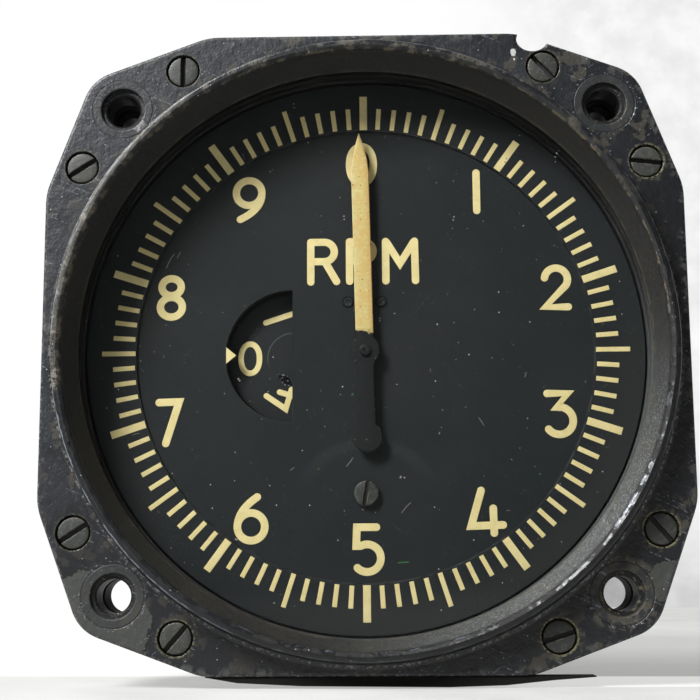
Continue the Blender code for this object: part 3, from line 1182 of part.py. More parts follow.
def receptacle(carrier):
    """The three-pin receptacle on the rear: shell, gasket, insert, contacts and screws."""
    outline = rounded_box(SOCKET_FLANGE_HALF, SOCKET_FLANGE_HALF, SOCKET_CORNER_R)
    screw_holes = [circle(SOCKET_SCREW_R + GAP, FACETS_SMALL, x, y) for x, y in socket_screw_places()]
    gasket_hole = circle(SOCKET_OUT_R + GAP, FACETS_MEDIUM)
    gasket = flat("receptacle_gasket", [outline, gasket_hole] + screw_holes, SOCKET_GASKET_DEPTH,
                  SOCKET_GASKET_DEPTH + GASKET_T, carrier)
    finish(gasket, "receptacle_gasket", SEAL_RUBBER)
    shell = flat("receptacle_shell", [outline] + screw_holes, SOCKET_FLANGE_DEPTH,
                 SOCKET_FLANGE_BACK, carrier)
    barrel = [
        (0, SOCKET_TAIL_DEPTH), (SOCKET_OUT_R, SOCKET_TAIL_DEPTH),
        (SOCKET_OUT_R, SOCKET_MOUTH - SOCKET_EDGE), (SOCKET_OUT_R - SOCKET_EDGE, SOCKET_MOUTH),
        (0, SOCKET_MOUTH),
    ]
    combine(shell, turned("barrel", barrel, carrier, FACETS_MEDIUM), "UNION")
    drill(shell, [(0, 0, SOCKET_BORE_R, SOCKET_TAIL_DEPTH - SOCKET_TAIL,
                   SOCKET_MOUTH + SOCKET_TAIL, FACETS_MEDIUM)])
    finish(shell, "receptacle_shell", ALUMINIUM)
    pins = on_circle(PIN_PITCH_R, PIN_COUNT)
    loops = [circle(INSERT_R, FACETS_MEDIUM)]
    loops += [circle(PIN_R + GAP, FACETS_SMALL, x, y) for x, y in pins]
    insert = flat("receptacle_insert", loops, SOCKET_TAIL_DEPTH, INSERT_FACE, carrier)
    finish(insert, "receptacle_insert", INSULATOR)
    pin_profile = [
        (0, PIN_TAIL_DEPTH), (PIN_R, PIN_TAIL_DEPTH), (PIN_R, PIN_TIP - PIN_NOSE),
        (PIN_R - PIN_NOSE, PIN_TIP), (0, PIN_TIP),
    ]
    pin = take_mesh(turned("pin", pin_profile, carrier, FACETS_SMALL))
    copies("contact_pin", pin, [placed(x, y, 0) for x, y in pins], carrier, SILVERED)
    screw = slotted_screw(
        SOCKET_SCREW_HEAD_R, SOCKET_SCREW_HEAD_H, SOCKET_SCREW_R, SOCKET_SCREW_LENGTH,
        SLOT_W, SLOT_DEPTH, carrier,
    )
    flip = Matrix.Rotation(math.pi, 4, "X")
    places = [
        placed(x, y, SOCKET_FLANGE_BACK + GAP, SOCKET_SCREW_STEP * i) @ flip
        for i, (x, y) in enumerate(socket_screw_places())
    ]
    copies("receptacle_screw", screw, places, carrier, BLACKED_STEEL)


def smooth_route(points, per_span):
    """Points read from a smooth curve through a route's own points."""
    ends = [2 * points[0] - points[1], 2 * points[-1] - points[-2]]
    row = [ends[0]] + points + [ends[1]]
    route = []
    for a, b, c, d in zip(row, row[1:], row[2:], row[3:]):
        for step in range(per_span):
            t = step / per_span
            route.append(0.5 * (
                2 * b + (c - a) * t + (2 * a - 5 * b + 4 * c - d) * t ** 2
                + (3 * b - a - 3 * c + d) * t ** 3
            ))
    return route + [points[-1]]


def stator_leads(carrier):
    """Three sleeved leads from the coils, out through the rear bell, to the solder tails."""
    pins = on_circle(PIN_PITCH_R, PIN_COUNT)
    starts = on_circle(LEAD_SPREAD, PIN_COUNT)
    end_depth = PIN_TAIL_DEPTH - GAP
    leads = []
    for (pin_x, pin_y), (start_x, start_y) in zip(pins, starts):
        hole_y = LEAD_HOLE_Y + start_y
        route = [
            Vector((start_x, hole_y, 2 * LEAD_R - COIL_BACK)),
            Vector((start_x, hole_y, -(REAR_BELL_BACK + LEAD_R))),
            Vector(((start_x + pin_x) / 2, (hole_y + pin_y) / 2, -(REAR_BELL_BACK + end_depth) / 2)),
            Vector((pin_x, pin_y, LEAD_STRAIGHT - end_depth)),
            Vector((pin_x, pin_y, -end_depth)),
        ]
        curve = bpy.data.curves.new("lead", "CURVE")
        curve.dimensions = "3D"
        curve.bevel_depth = LEAD_R
        curve.bevel_resolution = 2
        curve.use_fill_caps = True
        points = smooth_route(route, 2)
        spline = curve.splines.new("POLY")
        spline.points.add(len(points) - 1)
        for knot, point in zip(spline.points, points):
            knot.co = (*point, 1)
        sketch = bpy.data.objects.new("lead", curve)
        PARTS.objects.link(sketch)
        mesh = evaluated_mesh(sketch)
        bpy.data.objects.remove(sketch)
        leads.append(settle(add_object("lead", mesh, carrier)))
    return leads


def build():
    """Builds the instrument and stands it on its flange, centred on the origin."""
    instrument = axis_empty("instrument")
    front_bezel(instrument)
    bezel_screws(instrument)
    glass_and_seals(instrument)
    case(instrument)
    dial(instrument)
    front_plate(instrument)
    centre_bridge(instrument)
    middle_plate(instrument)
    hairspring(instrument)
    stator(instrument)
    end_bells(instrument)
    receptacle(instrument)
    pointer_axis = axis_empty("pointer_axis", instrument)
    pointer(pointer_axis)
    pointer_arbor(pointer_axis)
    transfer_arbor(axis_empty("transfer_axis", instrument, ARBOR_X, ARBOR_Y))
    drag_staff(axis_empty("staff_axis", instrument))
    rotor_axis = axis_empty("rotor_axis", instrument)
    drag_magnet(rotor_axis)
    rotor(rotor_axis)
    instrument.rotation_euler = (math.pi / 2, 0, 0)
    instrument.location = (0, (RIM_PROUD - SOCKET_MOUTH) / 2, FLANGE_HALF)
    bpy.context.view_layer.update()


build()
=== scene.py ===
# %% Load the frame
import math

import bpy
import numpy as np
from mathutils import Matrix, Vector


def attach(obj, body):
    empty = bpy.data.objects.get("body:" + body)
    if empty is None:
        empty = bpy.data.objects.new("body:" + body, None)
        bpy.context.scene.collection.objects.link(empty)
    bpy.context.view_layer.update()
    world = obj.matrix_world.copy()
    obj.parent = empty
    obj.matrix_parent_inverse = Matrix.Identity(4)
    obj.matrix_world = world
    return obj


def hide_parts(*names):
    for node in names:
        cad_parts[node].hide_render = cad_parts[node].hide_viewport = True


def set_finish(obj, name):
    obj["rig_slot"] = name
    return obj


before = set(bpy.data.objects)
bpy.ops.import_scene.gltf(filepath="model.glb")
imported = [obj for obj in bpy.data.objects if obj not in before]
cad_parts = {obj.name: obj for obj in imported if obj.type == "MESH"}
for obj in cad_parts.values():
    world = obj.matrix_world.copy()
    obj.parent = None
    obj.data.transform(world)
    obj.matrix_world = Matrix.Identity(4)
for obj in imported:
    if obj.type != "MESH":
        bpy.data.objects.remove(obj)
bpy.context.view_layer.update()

# %% [markdown]
# A panel instrument is laid out from the middle of its dial, so the numbers below are in millimetres to
# the right of that middle, up from it, and back from the front of the mounting flange. One function
# turns such numbers into metres of the frame, and no other line needs to know where the frame's
# origin is. The other way would be to model at the origin and move each piece afterwards, but a
# finished piece here keeps its object at the origin and its place in its mesh.

# %% Places on the instrument
MM = 0.001
AXIS_UP = 41.3        # the dial's middle above the table
FRONT = -50.0         # the flange's front in the frame


def placed(x, up, depth):
    """Right, up and back from the dial's middle in millimetres, as metres of the frame."""
    x, up, depth = np.broadcast_arrays(x, up, depth)
    return np.stack([x, depth + FRONT, up + AXIS_UP], axis=-1) * MM


print("dial middle in the frame:", placed(0, 0, 0))

# %% [markdown]
# Every new piece is a grid of points with four-cornered faces between neighbours. Where a row shrinks to
# one point, such as the middle of a disc, its points are merged and the faces there lose a corner.
# The faces must point outwards, and one sum settles that for any closed shape: each face and the
# origin enclose a small signed volume, and if all of them add up to less than nothing, every face is
# turned round.

# %% Grids become closed meshes
CREASE = 32           # degrees past which an edge stays sharp


def put(name, data):
    """A new object in the scene for a mesh, a lamp or a camera."""
    thing = bpy.data.objects.new(name, data)
    bpy.context.scene.collection.objects.link(thing)
    return thing


def grid_faces(rows, columns, round_rows=False, round_columns=True):
    """Faces between neighbouring rows and columns; a round direction joins its end to its start."""
    r = np.arange(rows if round_rows else rows - 1)[:, None]
    c = np.arange(columns if round_columns else columns - 1)[None, :]
    r2, c2 = (r + 1) % rows, (c + 1) % columns
    corners = [r * columns + c, r * columns + c2, r2 * columns + c2, r2 * columns + c]
    return np.stack(np.broadcast_arrays(*corners), axis=-1).reshape(-1, 4)


def skin(name, points, faces):
    """A mesh object from points and faces, merged, turned outwards, and smooth below the crease angle."""
    points = np.asarray(points, float).reshape(-1, 3)
    keys = np.round(points / 2e-7).astype(np.int64)
    _, first, where = np.unique(keys, axis=0, return_index=True, return_inverse=True)
    points, faces = points[first], where.reshape(-1)[faces]
    a, b, c, d = (points[faces[:, k]] for k in range(4))
    volume = np.einsum("ij,ij->", a, np.cross(b, c)) + np.einsum("ij,ij->", a, np.cross(c, d))
    if volume < 0:
        faces = faces[:, ::-1]
    kept = faces != np.roll(faces, 1, axis=1)
    kept[kept.sum(axis=1) < 3] = False
    counts = kept.sum(axis=1)
    counts = counts[counts > 0]
    mesh = bpy.data.meshes.new(name)
    mesh.vertices.add(len(points))
    mesh.vertices.foreach_set("co", points.astype(np.float32).ravel())
    mesh.loops.add(int(kept.sum()))
    mesh.loops.foreach_set("vertex_index", faces[kept].astype(np.int32))
    mesh.polygons.add(len(counts))
    mesh.polygons.foreach_set("loop_start", (np.cumsum(counts) - counts).astype(np.int32))
    mesh.polygons.foreach_set("use_smooth", np.ones(len(counts), bool))
    mesh.update(calc_edges=True)
    mesh.validate()
    mesh.set_sharp_from_angle(angle=math.radians(CREASE))
    return put(name, mesh)


print("faces of a 3 by 4 ring grid:", len(grid_faces(3, 4)))

# %% [markdown]
# Turned parts, such as screws, discs and the barrel of the receptacle, are one profile carried round an
# axis. A real edge is never knife sharp, and a small rounding is what catches the light, so each
# corner of a profile can be eased. A parabola does that with few points: it leaves one side a given
# length before the corner and joins the next side the same length after it.

# %% Profiles with eased corners, turned or carried round an outline
def eased(corners, closed=False, steps=4):
    """Corners (a, b, size) rounded by parabolas that start and end `size` away from each corner."""
    corners = np.array([tuple(c) + (0,) * (3 - len(c)) for c in corners], float)
    place, size = corners[:, :2], corners[:, 2]
    before, after = np.roll(place, 1, axis=0) - place, np.roll(place, -1, axis=0) - place
    length_before = np.linalg.norm(before, axis=1, keepdims=True)
    length_after = np.linalg.norm(after, axis=1, keepdims=True)
    if not closed:
        size[[0, -1]] = 0
    start = place + before / length_before * np.minimum(size[:, None], length_before / 2)
    end = place + after / length_after * np.minimum(size[:, None], length_after / 2)
    t = np.linspace(0, 1, steps + 1)[:, None]
    return np.concatenate([(1 - t) ** 2 * s + 2 * t * (1 - t) * p + t ** 2 * e if reach else p[None]
                           for s, p, e, reach in zip(start, place, end, size)])


def turned(name, profile, x=0.0, up=0.0, steps=96, ring=False):
    """Carries (radius, depth) pairs round a line that runs straight back through (x, up)."""
    radius, depth = np.asarray(profile, float).T
    angle = np.arange(steps) * math.tau / steps
    points = placed(x + np.outer(radius, np.cos(angle)), up + np.outer(radius, np.sin(angle)), depth[:, None])
    return skin(name, points, grid_faces(len(radius), steps, round_rows=ring))


def rod(radius, start, end, x=0.0, up=0.0, steps=24):
    """A plain cylinder between two depths, to cut out or to join."""
    return turned("rod", [(0, start), (radius, start), (radius, end), (0, end)], x, up, steps)


def outward(outline):
    """The unit normal of a counter-clockwise outline at each point, from its two neighbours."""
    along = np.roll(outline, -1, axis=0) - np.roll(outline, 1, axis=0)
    across = np.stack([along[:, 1], -along[:, 0]], axis=1)
    return across / np.linalg.norm(across, axis=1, keepdims=True)


def slab(name, outline, rows, middle=None):
    """Carries (inset, depth) pairs round an outline; the first and last rows close on its middle."""
    outline = np.asarray(outline, float)
    middle = outline.mean(axis=0) if middle is None else np.asarray(middle, float)
    inset, depth = np.asarray(rows, float).T
    rings = outline[None] - inset[:, None, None] * outward(outline)[None]
    rings = np.concatenate([np.broadcast_to(middle, rings[:1].shape), rings,
                            np.broadcast_to(middle, rings[:1].shape)])
    depth = np.concatenate([depth[:1], depth, depth[-1:]])
    points = placed(rings[..., 0], rings[..., 1], depth[:, None])
    return skin(name, points, grid_faces(len(depth), len(outline)))


def oval(radius_x, radius_up, x=0.0, up=0.0, steps=48):
    """Points of an upright ellipse."""
    angle = np.arange(steps) * math.tau / steps
    return np.stack([x + radius_x * np.cos(angle), up + radius_up * np.sin(angle)], axis=1)


print("an eased square has", len(eased([(0, 0, 1), (4, 0, 1), (4, 4, 1), (0, 4, 1)], closed=True)), "points")

# %% [markdown]
# Holes and joints between forms are cut with Boolean modifiers, whose result is then kept as the mesh and
# the cutting tools thrown away. A cutter that flares at its mouth leaves a rounded lip round its hole.
# Large flat faces beside small rounded ones would shade unevenly, so a Weighted Normal modifier lets
# the large faces decide the direction that the surface seems to have.

# %% Cutting, joining and riding
def worked(piece, tools, operation="DIFFERENCE"):
    """Cuts the tools out of a piece, or joins them to it, and keeps the result as its mesh.

    The solver compares lengths with a fixed small one, so the work is done with metres read as millimetres.
    """
    for tool in tools:
        step = piece.modifiers.new("Work", "BOOLEAN")
        step.operation, step.solver, step.object = operation, "EXACT", tool
    for part in (piece, *tools):
        part.data.transform(Matrix.Scale(1 / MM, 4))
    result = bpy.data.meshes.new_from_object(piece.evaluated_get(bpy.context.evaluated_depsgraph_get()))
    result.transform(Matrix.Scale(MM, 4))
    piece.modifiers.clear()
    piece.data = result
    for tool in tools:
        bpy.data.objects.remove(tool)
    return piece


def gathered(name, pieces):
    """Puts the meshes of several pieces that don't touch into one object."""
    counts = np.cumsum([0] + [len(p.data.vertices) for p in pieces])
    points, polygons = [], []
    for start, piece in zip(counts, pieces):
        co = np.empty(len(piece.data.vertices) * 3, np.float32)
        piece.data.vertices.foreach_get("co", co)
        points.append(co.reshape(-1, 3))
        polygons += [[start + v for v in p.vertices] for p in piece.data.polygons]
        bpy.data.objects.remove(piece)
    mesh = bpy.data.meshes.new(name)
    mesh.from_pydata(np.concatenate(points), [], polygons)
    return put(name, mesh)


made = []             # finished pieces, gathered for the finishes below


def fitted(piece, body, slot, *nodes, crease=CREASE):
    """Finishes a piece: its creases, its body, the record's finish, and the CAD nodes it stands for."""
    piece.data.name = piece.name
    piece.data.polygons.foreach_set("use_smooth", np.ones(len(piece.data.polygons), bool))
    piece.data.set_sharp_from_angle(angle=math.radians(crease))
    piece.modifiers.new("Even", "WEIGHTED_NORMAL").keep_sharp = True
    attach(piece, body)
    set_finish(piece, slot)
    if nodes:
        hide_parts(*nodes)
    made.append(piece)
    return piece


# %% [markdown]
# The front is one casting: a square flange with slanted corners, a proud ring round the glass, a
# tapering throat, eight sunk seats for screws and four mounting holes. Its outline is four quarter
# turns of one run of points, made of a side, a slant and an arc about the mounting hole. The ring
# is a turned plug that is joined on, and everything that a lathe or drill would remove is cut away
# with flared tools, because that gives each edge the soft lip that worn enamel has.

# %% The outline of the flange
FLANGE_HALF, SIDE_STRAIGHT = 41.3, 20.3
HOLE_AT, CORNER_RADIUS, CORNER_SLOPE = 31.43, 5.4, math.radians(20.29)


def flange_outline(shy=0.0):
    """Counter-clockwise: the right side, then the corner arc, turned by quarters; `shy` draws it in."""
    angle = np.linspace(CORNER_SLOPE, math.pi / 2 - CORNER_SLOPE, 12)
    radius, half = CORNER_RADIUS - shy, FLANGE_HALF - shy
    run = [(half, -SIDE_STRAIGHT, 1.4), (half, SIDE_STRAIGHT, 1.4)]
    run += [(HOLE_AT + radius * math.cos(a), HOLE_AT + radius * math.sin(a), 0) for a in angle]
    run = np.array(run)
    turns = []
    for q in np.arange(4) * math.pi / 2:
        quarter = np.array([[math.cos(q), math.sin(q)], [-math.sin(q), math.cos(q)]])
        turns.append(np.column_stack([run[:, :2] @ quarter, run[:, 2]]))
    return eased(np.concatenate(turns), closed=True)


def notch_tool(back):
    """The chip that was filed into the top edge, an upright ellipse with a soft mouth."""
    rows = [(-0.5, -1), (-0.5, -0.02), (-0.2, 0.1), (-0.04, 0.3), (0, 0.6), (0, back)]
    return slab("notch", oval(2.05, 1.7, 22.35, 40.55), rows)


print("flange outline points:", len(flange_outline()))

# %% The bezel
HOLES = [(sx * HOLE_AT, su * HOLE_AT) for sx in (-1, 1) for su in (-1, 1)]
SCREWS = [(23.6, 36.6), (36.6, 23.6), (36.6, -23.6), (23.6, -36.6),
          (-23.6, -36.6), (-36.6, -23.6), (-36.6, 23.6), (-23.6, 36.6)]
SLOT_TURNS = [-47, -6, -50, 17, 49, 33, 33, 90]      # degrees, as the photograph shows them


def bezel_ring():
    """The turned plug: rim, slightly leaning wall, and a hollow quarter round down to the flange."""
    turn = np.linspace(math.pi, 1.5 * math.pi, 9)
    wall = [(0, -3.0), (39.5, -3.0, 0.38), (39.62, -1.1)]
    fillet = np.stack([40.74 + 1.12 * np.cos(turn), -1.1 - 1.12 * np.sin(turn)], axis=1)
    profile = np.concatenate([eased(wall)[:-1], fillet, [[40.76, 0.6], [0, 0.6]]])
    return turned("ring", profile, steps=192)


def throat_tool():
    """What the lathe takes out: a soft lip at the rim, the tapering throat, and the glass's seat."""
    profile = eased([(0, -4), (38.75, -4), (38.75, -2.99), (38.3, -2.75, 0.3), (36.95, 1.8, 0.3),
                     (36.9, 2.0), (38.9, 2.0), (38.9, 5.6), (0, 5.6)])
    return turned("throat", profile, steps=192)


def drill(x, up, radius, lip, floor=None, bore=None, back=5.6):
    """A cutting tool for one hole: flared mouth, wall, and if there is a floor a smaller bore behind it."""
    rows = [(0, -1), (radius + lip, -1), (radius + lip, -0.015), (radius + lip * 0.3, lip * 0.3),
            (radius, lip), (radius, floor or back)]
    if floor:
        rows += [(bore + 0.25, floor), (bore, floor + 0.25), (bore, back)]
    return turned("drill", rows + [(0, back)], x, up, steps=48)


def bezel():
    flange_rows = eased([(3, 0), (0, 0, 0.5), (0, 4.6, 0.25), (3, 4.6)])
    casting = slab("front_bezel_enamelled", flange_outline(), flange_rows, middle=(0, 0))
    worked(casting, [bezel_ring()], "UNION")
    sinks = [drill(x, up, 2.19, 0.14, 2.0, 1.55) for x, up in SCREWS]
    bores = [drill(x, up, 2.8, 0.28, 0.65, 2.15) for x, up in HOLES]
    return worked(casting, [throat_tool(), gathered("drills", sinks + bores), notch_tool(5.6)])


front = fitted(bezel(), "frame", "bezel_enamel", "front_bezel")
print("bezel faces:", len(front.data.polygons))

# %% [markdown]
# Eight cheese-head screws hold the bezel. Each head is turned with a worn, slightly crowned top, and its
# slot is cut at the angle where the screwdriver left it. All slotted screws of the instrument come
# from the same function, with their own sizes.

# %% Slotted screws
def slotted(name, x, up, front, seat, end, head, shank, slot, slot_floor, degrees, steps=40, facing=1):
    """A turned screw whose head has a crowned top and a slot; facing -1 puts its head at the rear."""
    crown = 0.05 * facing
    ease = min(0.26, 0.4 * abs(seat - front))
    profile = eased([(0, front - crown), (head * 0.6, front - crown * 0.8), (head, front, ease),
                     (head, seat, 0.06), (shank, seat), (shank, end, 0.25), (0, end)])
    screw = turned(name, profile, x, up, steps=steps)
    turn = math.radians(degrees)
    across = np.array([[math.cos(turn), math.sin(turn)], [-math.sin(turn), math.cos(turn)]])
    long, half = head * 1.4, slot / 2
    box = np.array([(-long, -half), (long, -half), (long, half), (-long, half)]) @ across + (x, up)
    lip = 0.07
    rows = [(-lip * 2, front - facing), (-lip * 2, front - facing * lip), (0, front + facing * lip),
            (0, slot_floor)]
    return worked(screw, [slab("slot", box, rows)])


for number, ((x, up), degrees) in enumerate(zip(SCREWS, SLOT_TURNS), start=1):
    screw = slotted(f"bezel_screw_{number}_worn", x, up, 0.2, 1.7, 9.5, 2.0, 1.25, 0.6, 0.9, degrees)
    fitted(screw, "frame", "black_steel", f"bezel_screw_{number}")
print("bezel screws:", number)

# %% [markdown]
# Behind the panel the case is a drawn can on a flange of the same outline, with bosses for the movement's
# screws inside its mouth. It is hollow, so what is taken away is modelled too: the mouth, the bore
# and the holes. The upper two mounting holes narrow to a captive nut, which is why they look black in the
# photograph. The can narrows slightly to the rear and ends in a generous round, as a pressing does.

# %% The case
CASE_FRONT, CASE_FLANGE_BACK, CASE_REAR, CASE_FLOOR = 6.0, 10.5, 88.0, 85.0
RECEPTACLE_SCREWS = [(-9.13, -9.13), (-9.13, 9.13), (9.13, -9.13), (9.13, 9.13)]
BOSSES = [(33.4 * math.cos(a), 33.4 * math.sin(a)) for a in np.radians([90, 210, 330])]


def case():
    rows = eased([(3, CASE_FRONT), (0, CASE_FRONT, 0.3), (0, CASE_FLANGE_BACK, 0.4), (3, CASE_FLANGE_BACK)])
    body = slab("case_painted", flange_outline(), rows, middle=(0, 0))
    turn = np.linspace(-math.pi / 2, -math.pi, 7)
    foot = np.stack([39.5 + 1.3 * np.cos(turn), 11.78 + 1.3 * np.sin(turn)], axis=1)
    can = np.concatenate([[[0, 8], [39.3, 8], [39.5, 10.2]], foot,
                          eased([(38.19, 12.2), (37.4, CASE_REAR, 4.0), (0, CASE_REAR)], steps=10)])
    worked(body, [turned("can", can, steps=160)], "UNION")
    cavity = eased([(0, 4), (37.0, 4), (37.0, 12.8), (35.4, 12.8), (35.4, CASE_FLOOR, 2.5), (0, CASE_FLOOR)])
    worked(body, [turned("cavity", cavity, steps=128)])
    worked(body, [gathered("bosses", [rod(2.6, 12.8, 26.8, *place) for place in BOSSES])], "UNION")
    tools = [rod(1.55, 4, 12, *place) for place in SCREWS]
    open_bore = [(0, 4), (2.15, 4), (2.15, 10.35), (2.35, 10.6), (2.35, 12), (0, 12)]
    nut_bore = [(0, 4), (2.15, 4), (2.15, 7.4), (1.45, 7.8), (1.45, 12), (0, 12)]
    tools += [turned("bore", nut_bore if up > 0 else open_bore, x, up, steps=40) for x, up in HOLES]
    tools += [rod(1.3, 12, 21.2, *place) for place in BOSSES]
    tools += [rod(1.5, 80, 90, *place) for place in RECEPTACLE_SCREWS]
    tools.append(rod(8.24, 80, 90, steps=64))
    return worked(body, [gathered("bores", tools), notch_tool(12)])


can = fitted(case(), "frame", "case_paint", "case")
print("case faces:", len(can.data.polygons))

# %% [markdown]
# The dial is a plate in two levels: a raised outer track for the marks, and a sunk middle with a
# half-round window. A small tooth points from the window's left edge at the thousands figure. Two feet
# are riveted into it, and their heads show as two faint rings under the letters.

# %% The dial and its screw
STEP_R, TRACK, FACE, DIAL_BACK = 30.1, 6.3, 6.7, 7.7
WINDOW_X, WINDOW_UP, WINDOW_R = -9.6, -0.4, 8.77
DIAL_SCREW, RIVETS = (0.0, -18.58), [(-2.2, 6.7), (2.2, 6.7)]


def window_tool():
    """Half a circle with a tooth in its left edge, closed by a straight right side."""
    tooth = 0.131
    angle = np.concatenate([np.linspace(math.pi / 2, math.pi - tooth, 26), [0],
                            np.linspace(math.pi + tooth, 1.5 * math.pi, 26)])
    outline = np.stack([WINDOW_X + WINDOW_R * np.cos(angle), WINDOW_UP + WINDOW_R * np.sin(angle)], axis=1)
    outline[26] = (-16.98, WINDOW_UP + 0.12)
    rows = [(-0.08, 5), (-0.08, FACE - 0.01), (-0.02, FACE + 0.04), (0, FACE + 0.12), (0, 9)]
    return slab("window", outline, rows, middle=(-12.8, WINDOW_UP))


def dial():
    two_levels = eased([(1.2, FACE, 0.04), (STEP_R - 0.05, FACE), (STEP_R + 0.05, TRACK, 0.05),
                        (36.7, TRACK, 0.1), (36.7, DIAL_BACK), (1.2, DIAL_BACK)], closed=True)
    plate = turned("dial_plate_printed", two_levels, steps=160, ring=True)
    foot = eased([(0, FACE - 0.06), (0.3, FACE - 0.06), (0.42, FACE - 0.14), (0.62, FACE - 0.12, 0.06),
                  (0.68, 7.2), (0.7, 12.2), (0, 12.2)])
    worked(plate, [gathered("feet", [turned("foot", foot, *place, steps=32) for place in RIVETS])], "UNION")
    return worked(plate, [window_tool(), rod(1.1, 5, 9, *DIAL_SCREW, 32)])


plate = fitted(dial(), "frame", "dial_paint", "dial_plate")
screw = slotted("dial_screw_worn", *DIAL_SCREW, 5.85, 6.4, 12.2, 1.62, 0.9, 0.45, 6.18, 80)
fitted(screw, "frame", "black_steel", "dial_screw")
print("dial faces:", len(plate.data.polygons))

# %% [markdown]
# The pointer and every painted figure are ribbons: a line down the middle and a half width at each of
# its points. A round end is the same ribbon with its width running out as a half circle does, and
# where the line turns sharply the offset is lengthened, as a mitre is, so that a seven keeps its
# corner. One function therefore makes the pointer, the figures and the letters.

# %% Ribbons
def ribbon(name, line, half, front, back, lip=0.03, crown=0.0, closed=False, turn=0.0):
    """Carries a flat section along a line: width 2 * half across it, eased front edges, crowned middle."""
    line, half = np.asarray(line, float), np.asarray(half, float)
    ahead, behind = np.roll(line, -1, axis=0) - line, line - np.roll(line, 1, axis=0)
    if not closed:
        ahead[-1], behind[0] = behind[-1], ahead[0]
    ahead /= np.linalg.norm(ahead, axis=1, keepdims=True)
    behind /= np.linalg.norm(behind, axis=1, keepdims=True)
    middle = ahead + behind
    middle /= np.linalg.norm(middle, axis=1, keepdims=True)
    mitre = 1 / np.maximum((middle * ahead).sum(axis=1), 0.55)
    side = np.stack([-middle[:, 1], middle[:, 0]], axis=1) * mitre[:, None]
    easing = np.minimum(lip, half)[:, None]
    across = half[:, None] * np.array([-1, -1, -1, -0.5, 0, 0.5, 1, 1, 1])
    across = across + easing * np.array([0, 0, 1, 0, 0, 0, -1, 0, 0])
    depth = np.array([back, front + lip, front, front - crown * 0.75, front - crown, front - crown * 0.75,
                      front, front + lip, back])
    place = line[:, None] + across[..., None] * side[:, None]
    c, s = math.cos(math.radians(turn)), math.sin(math.radians(turn))
    x, up = place[..., 0] * c - place[..., 1] * s, place[..., 0] * s + place[..., 1] * c
    return skin(name, placed(x, up, depth), grid_faces(len(line), 9, round_rows=closed))


def run_out(line, half, ends=(True, True), steps=7):
    """Lengthens a line by half circles: width sqrt(r * r - s * s) at s beyond its end."""
    line = np.asarray(line, float)
    widths = np.full(len(line), half)
    s = half * np.sin(np.linspace(0, math.pi / 2, steps + 1)[1:])
    tip = np.sqrt(np.maximum(half ** 2 - s ** 2, 0))
    for end in (0, 1):
        if ends[end]:
            way = line[-1] - line[-2]
            line = np.concatenate([line, line[-1] + s[:, None] * way / np.linalg.norm(way)])
            widths = np.concatenate([widths, tip])
        line, widths = line[::-1], widths[::-1]
    return line, widths


print("points of a round-ended stroke:", len(run_out([(0, 0), (0, 5)], 0.5)[0]))

# %% [markdown]
# The pointer is a lance with a disc at its hub, a counterweight disc at its tail and a small pressed
# boss. Its width along its length is the larger of the arm and the two discs, so it needs no cutting
# at all. It hangs a little to the left of the zero mark, as in the photograph.

# %% The pointer
POINTER_TURN = 1.2                        # degrees to the left of the zero mark
HUB, TAIL_AT, TIP_AT = 1.93, -11.4, 29.52


def pointer():
    """Half width: the arm, the hub's circle or the tail's circle, whichever is wider there."""
    spans = [(-11.2, -9.6, 10), (-9.3, -2.2, 8), (-HUB, HUB, 25), (2.3, 26.1, 14), (26.3, 29.5, 9)]
    line = np.concatenate([TAIL_AT - HUB * np.cos(np.linspace(0, math.pi / 2, 12))]
                          + [np.linspace(*span) for span in spans])
    circle = np.sqrt(np.maximum(HUB ** 2 - line ** 2, 0))
    weight = np.sqrt(np.maximum(HUB ** 2 - (line - TAIL_AT) ** 2, 0))
    from_tip = TIP_AT - line
    arm = np.minimum(1.17, 0.35 * from_tip - 0.021 * np.minimum(from_tip, 6) ** 2)
    arm = np.where(line < TAIL_AT, 0, np.where(line < -2, 1.1, arm))
    half = np.maximum(np.maximum(circle, weight), arm)
    hand = ribbon("pointer_enamelled", np.stack([0 * line, line], axis=1), half, 5.12, 5.5, lip=0.09,
                  crown=0.05, turn=POINTER_TURN)
    boss = eased([(0, 4.86), (0.1, 4.84), (0.17, 4.67, 0.05), (0.45, 4.65), (0.76, 4.72, 0.1),
                  (0.8, 5.3), (0, 5.3)])
    return worked(hand, [turned("boss", boss, steps=32)], "UNION")


hand = fitted(pointer(), "pointer_group", "lume_paint", "pointer", crease=40)
print("pointer faces:", len(hand.data.polygons))

# %% [markdown]
# The figures are engraver's figures: one even stroke with round ends. Each is written down as the
# middle of its strokes, in millimetres about its own middle, with arcs given by centre, radius and
# the angles where they start and end. A figure's strokes are joined into one closed form.

# %% Figures and letters
def arc(x, up, radius, start, end, squeeze=1.0, power=1.0):
    """Points of an arc in degrees; squeeze narrows it and power below 1 squares its shoulders."""
    angle = np.radians(np.linspace(start, end, max(5, int(abs(end - start) / 9))))
    c, s = np.cos(angle), np.sin(angle)
    return np.stack([x + radius * squeeze * np.sign(c) * abs(c) ** power,
                     up + radius * np.sign(s) * abs(s) ** power], axis=1)


def bend(start, pull, end, steps=10):
    """A parabola from start to end that is drawn towards pull."""
    t = np.linspace(0, 1, steps)[:, None]
    return (1 - t) ** 2 * np.array(start) + 2 * t * (1 - t) * np.array(pull) + t ** 2 * np.array(end)


def joined(*runs):
    return np.concatenate([np.asarray(r, float).reshape(-1, 2) for r in runs])


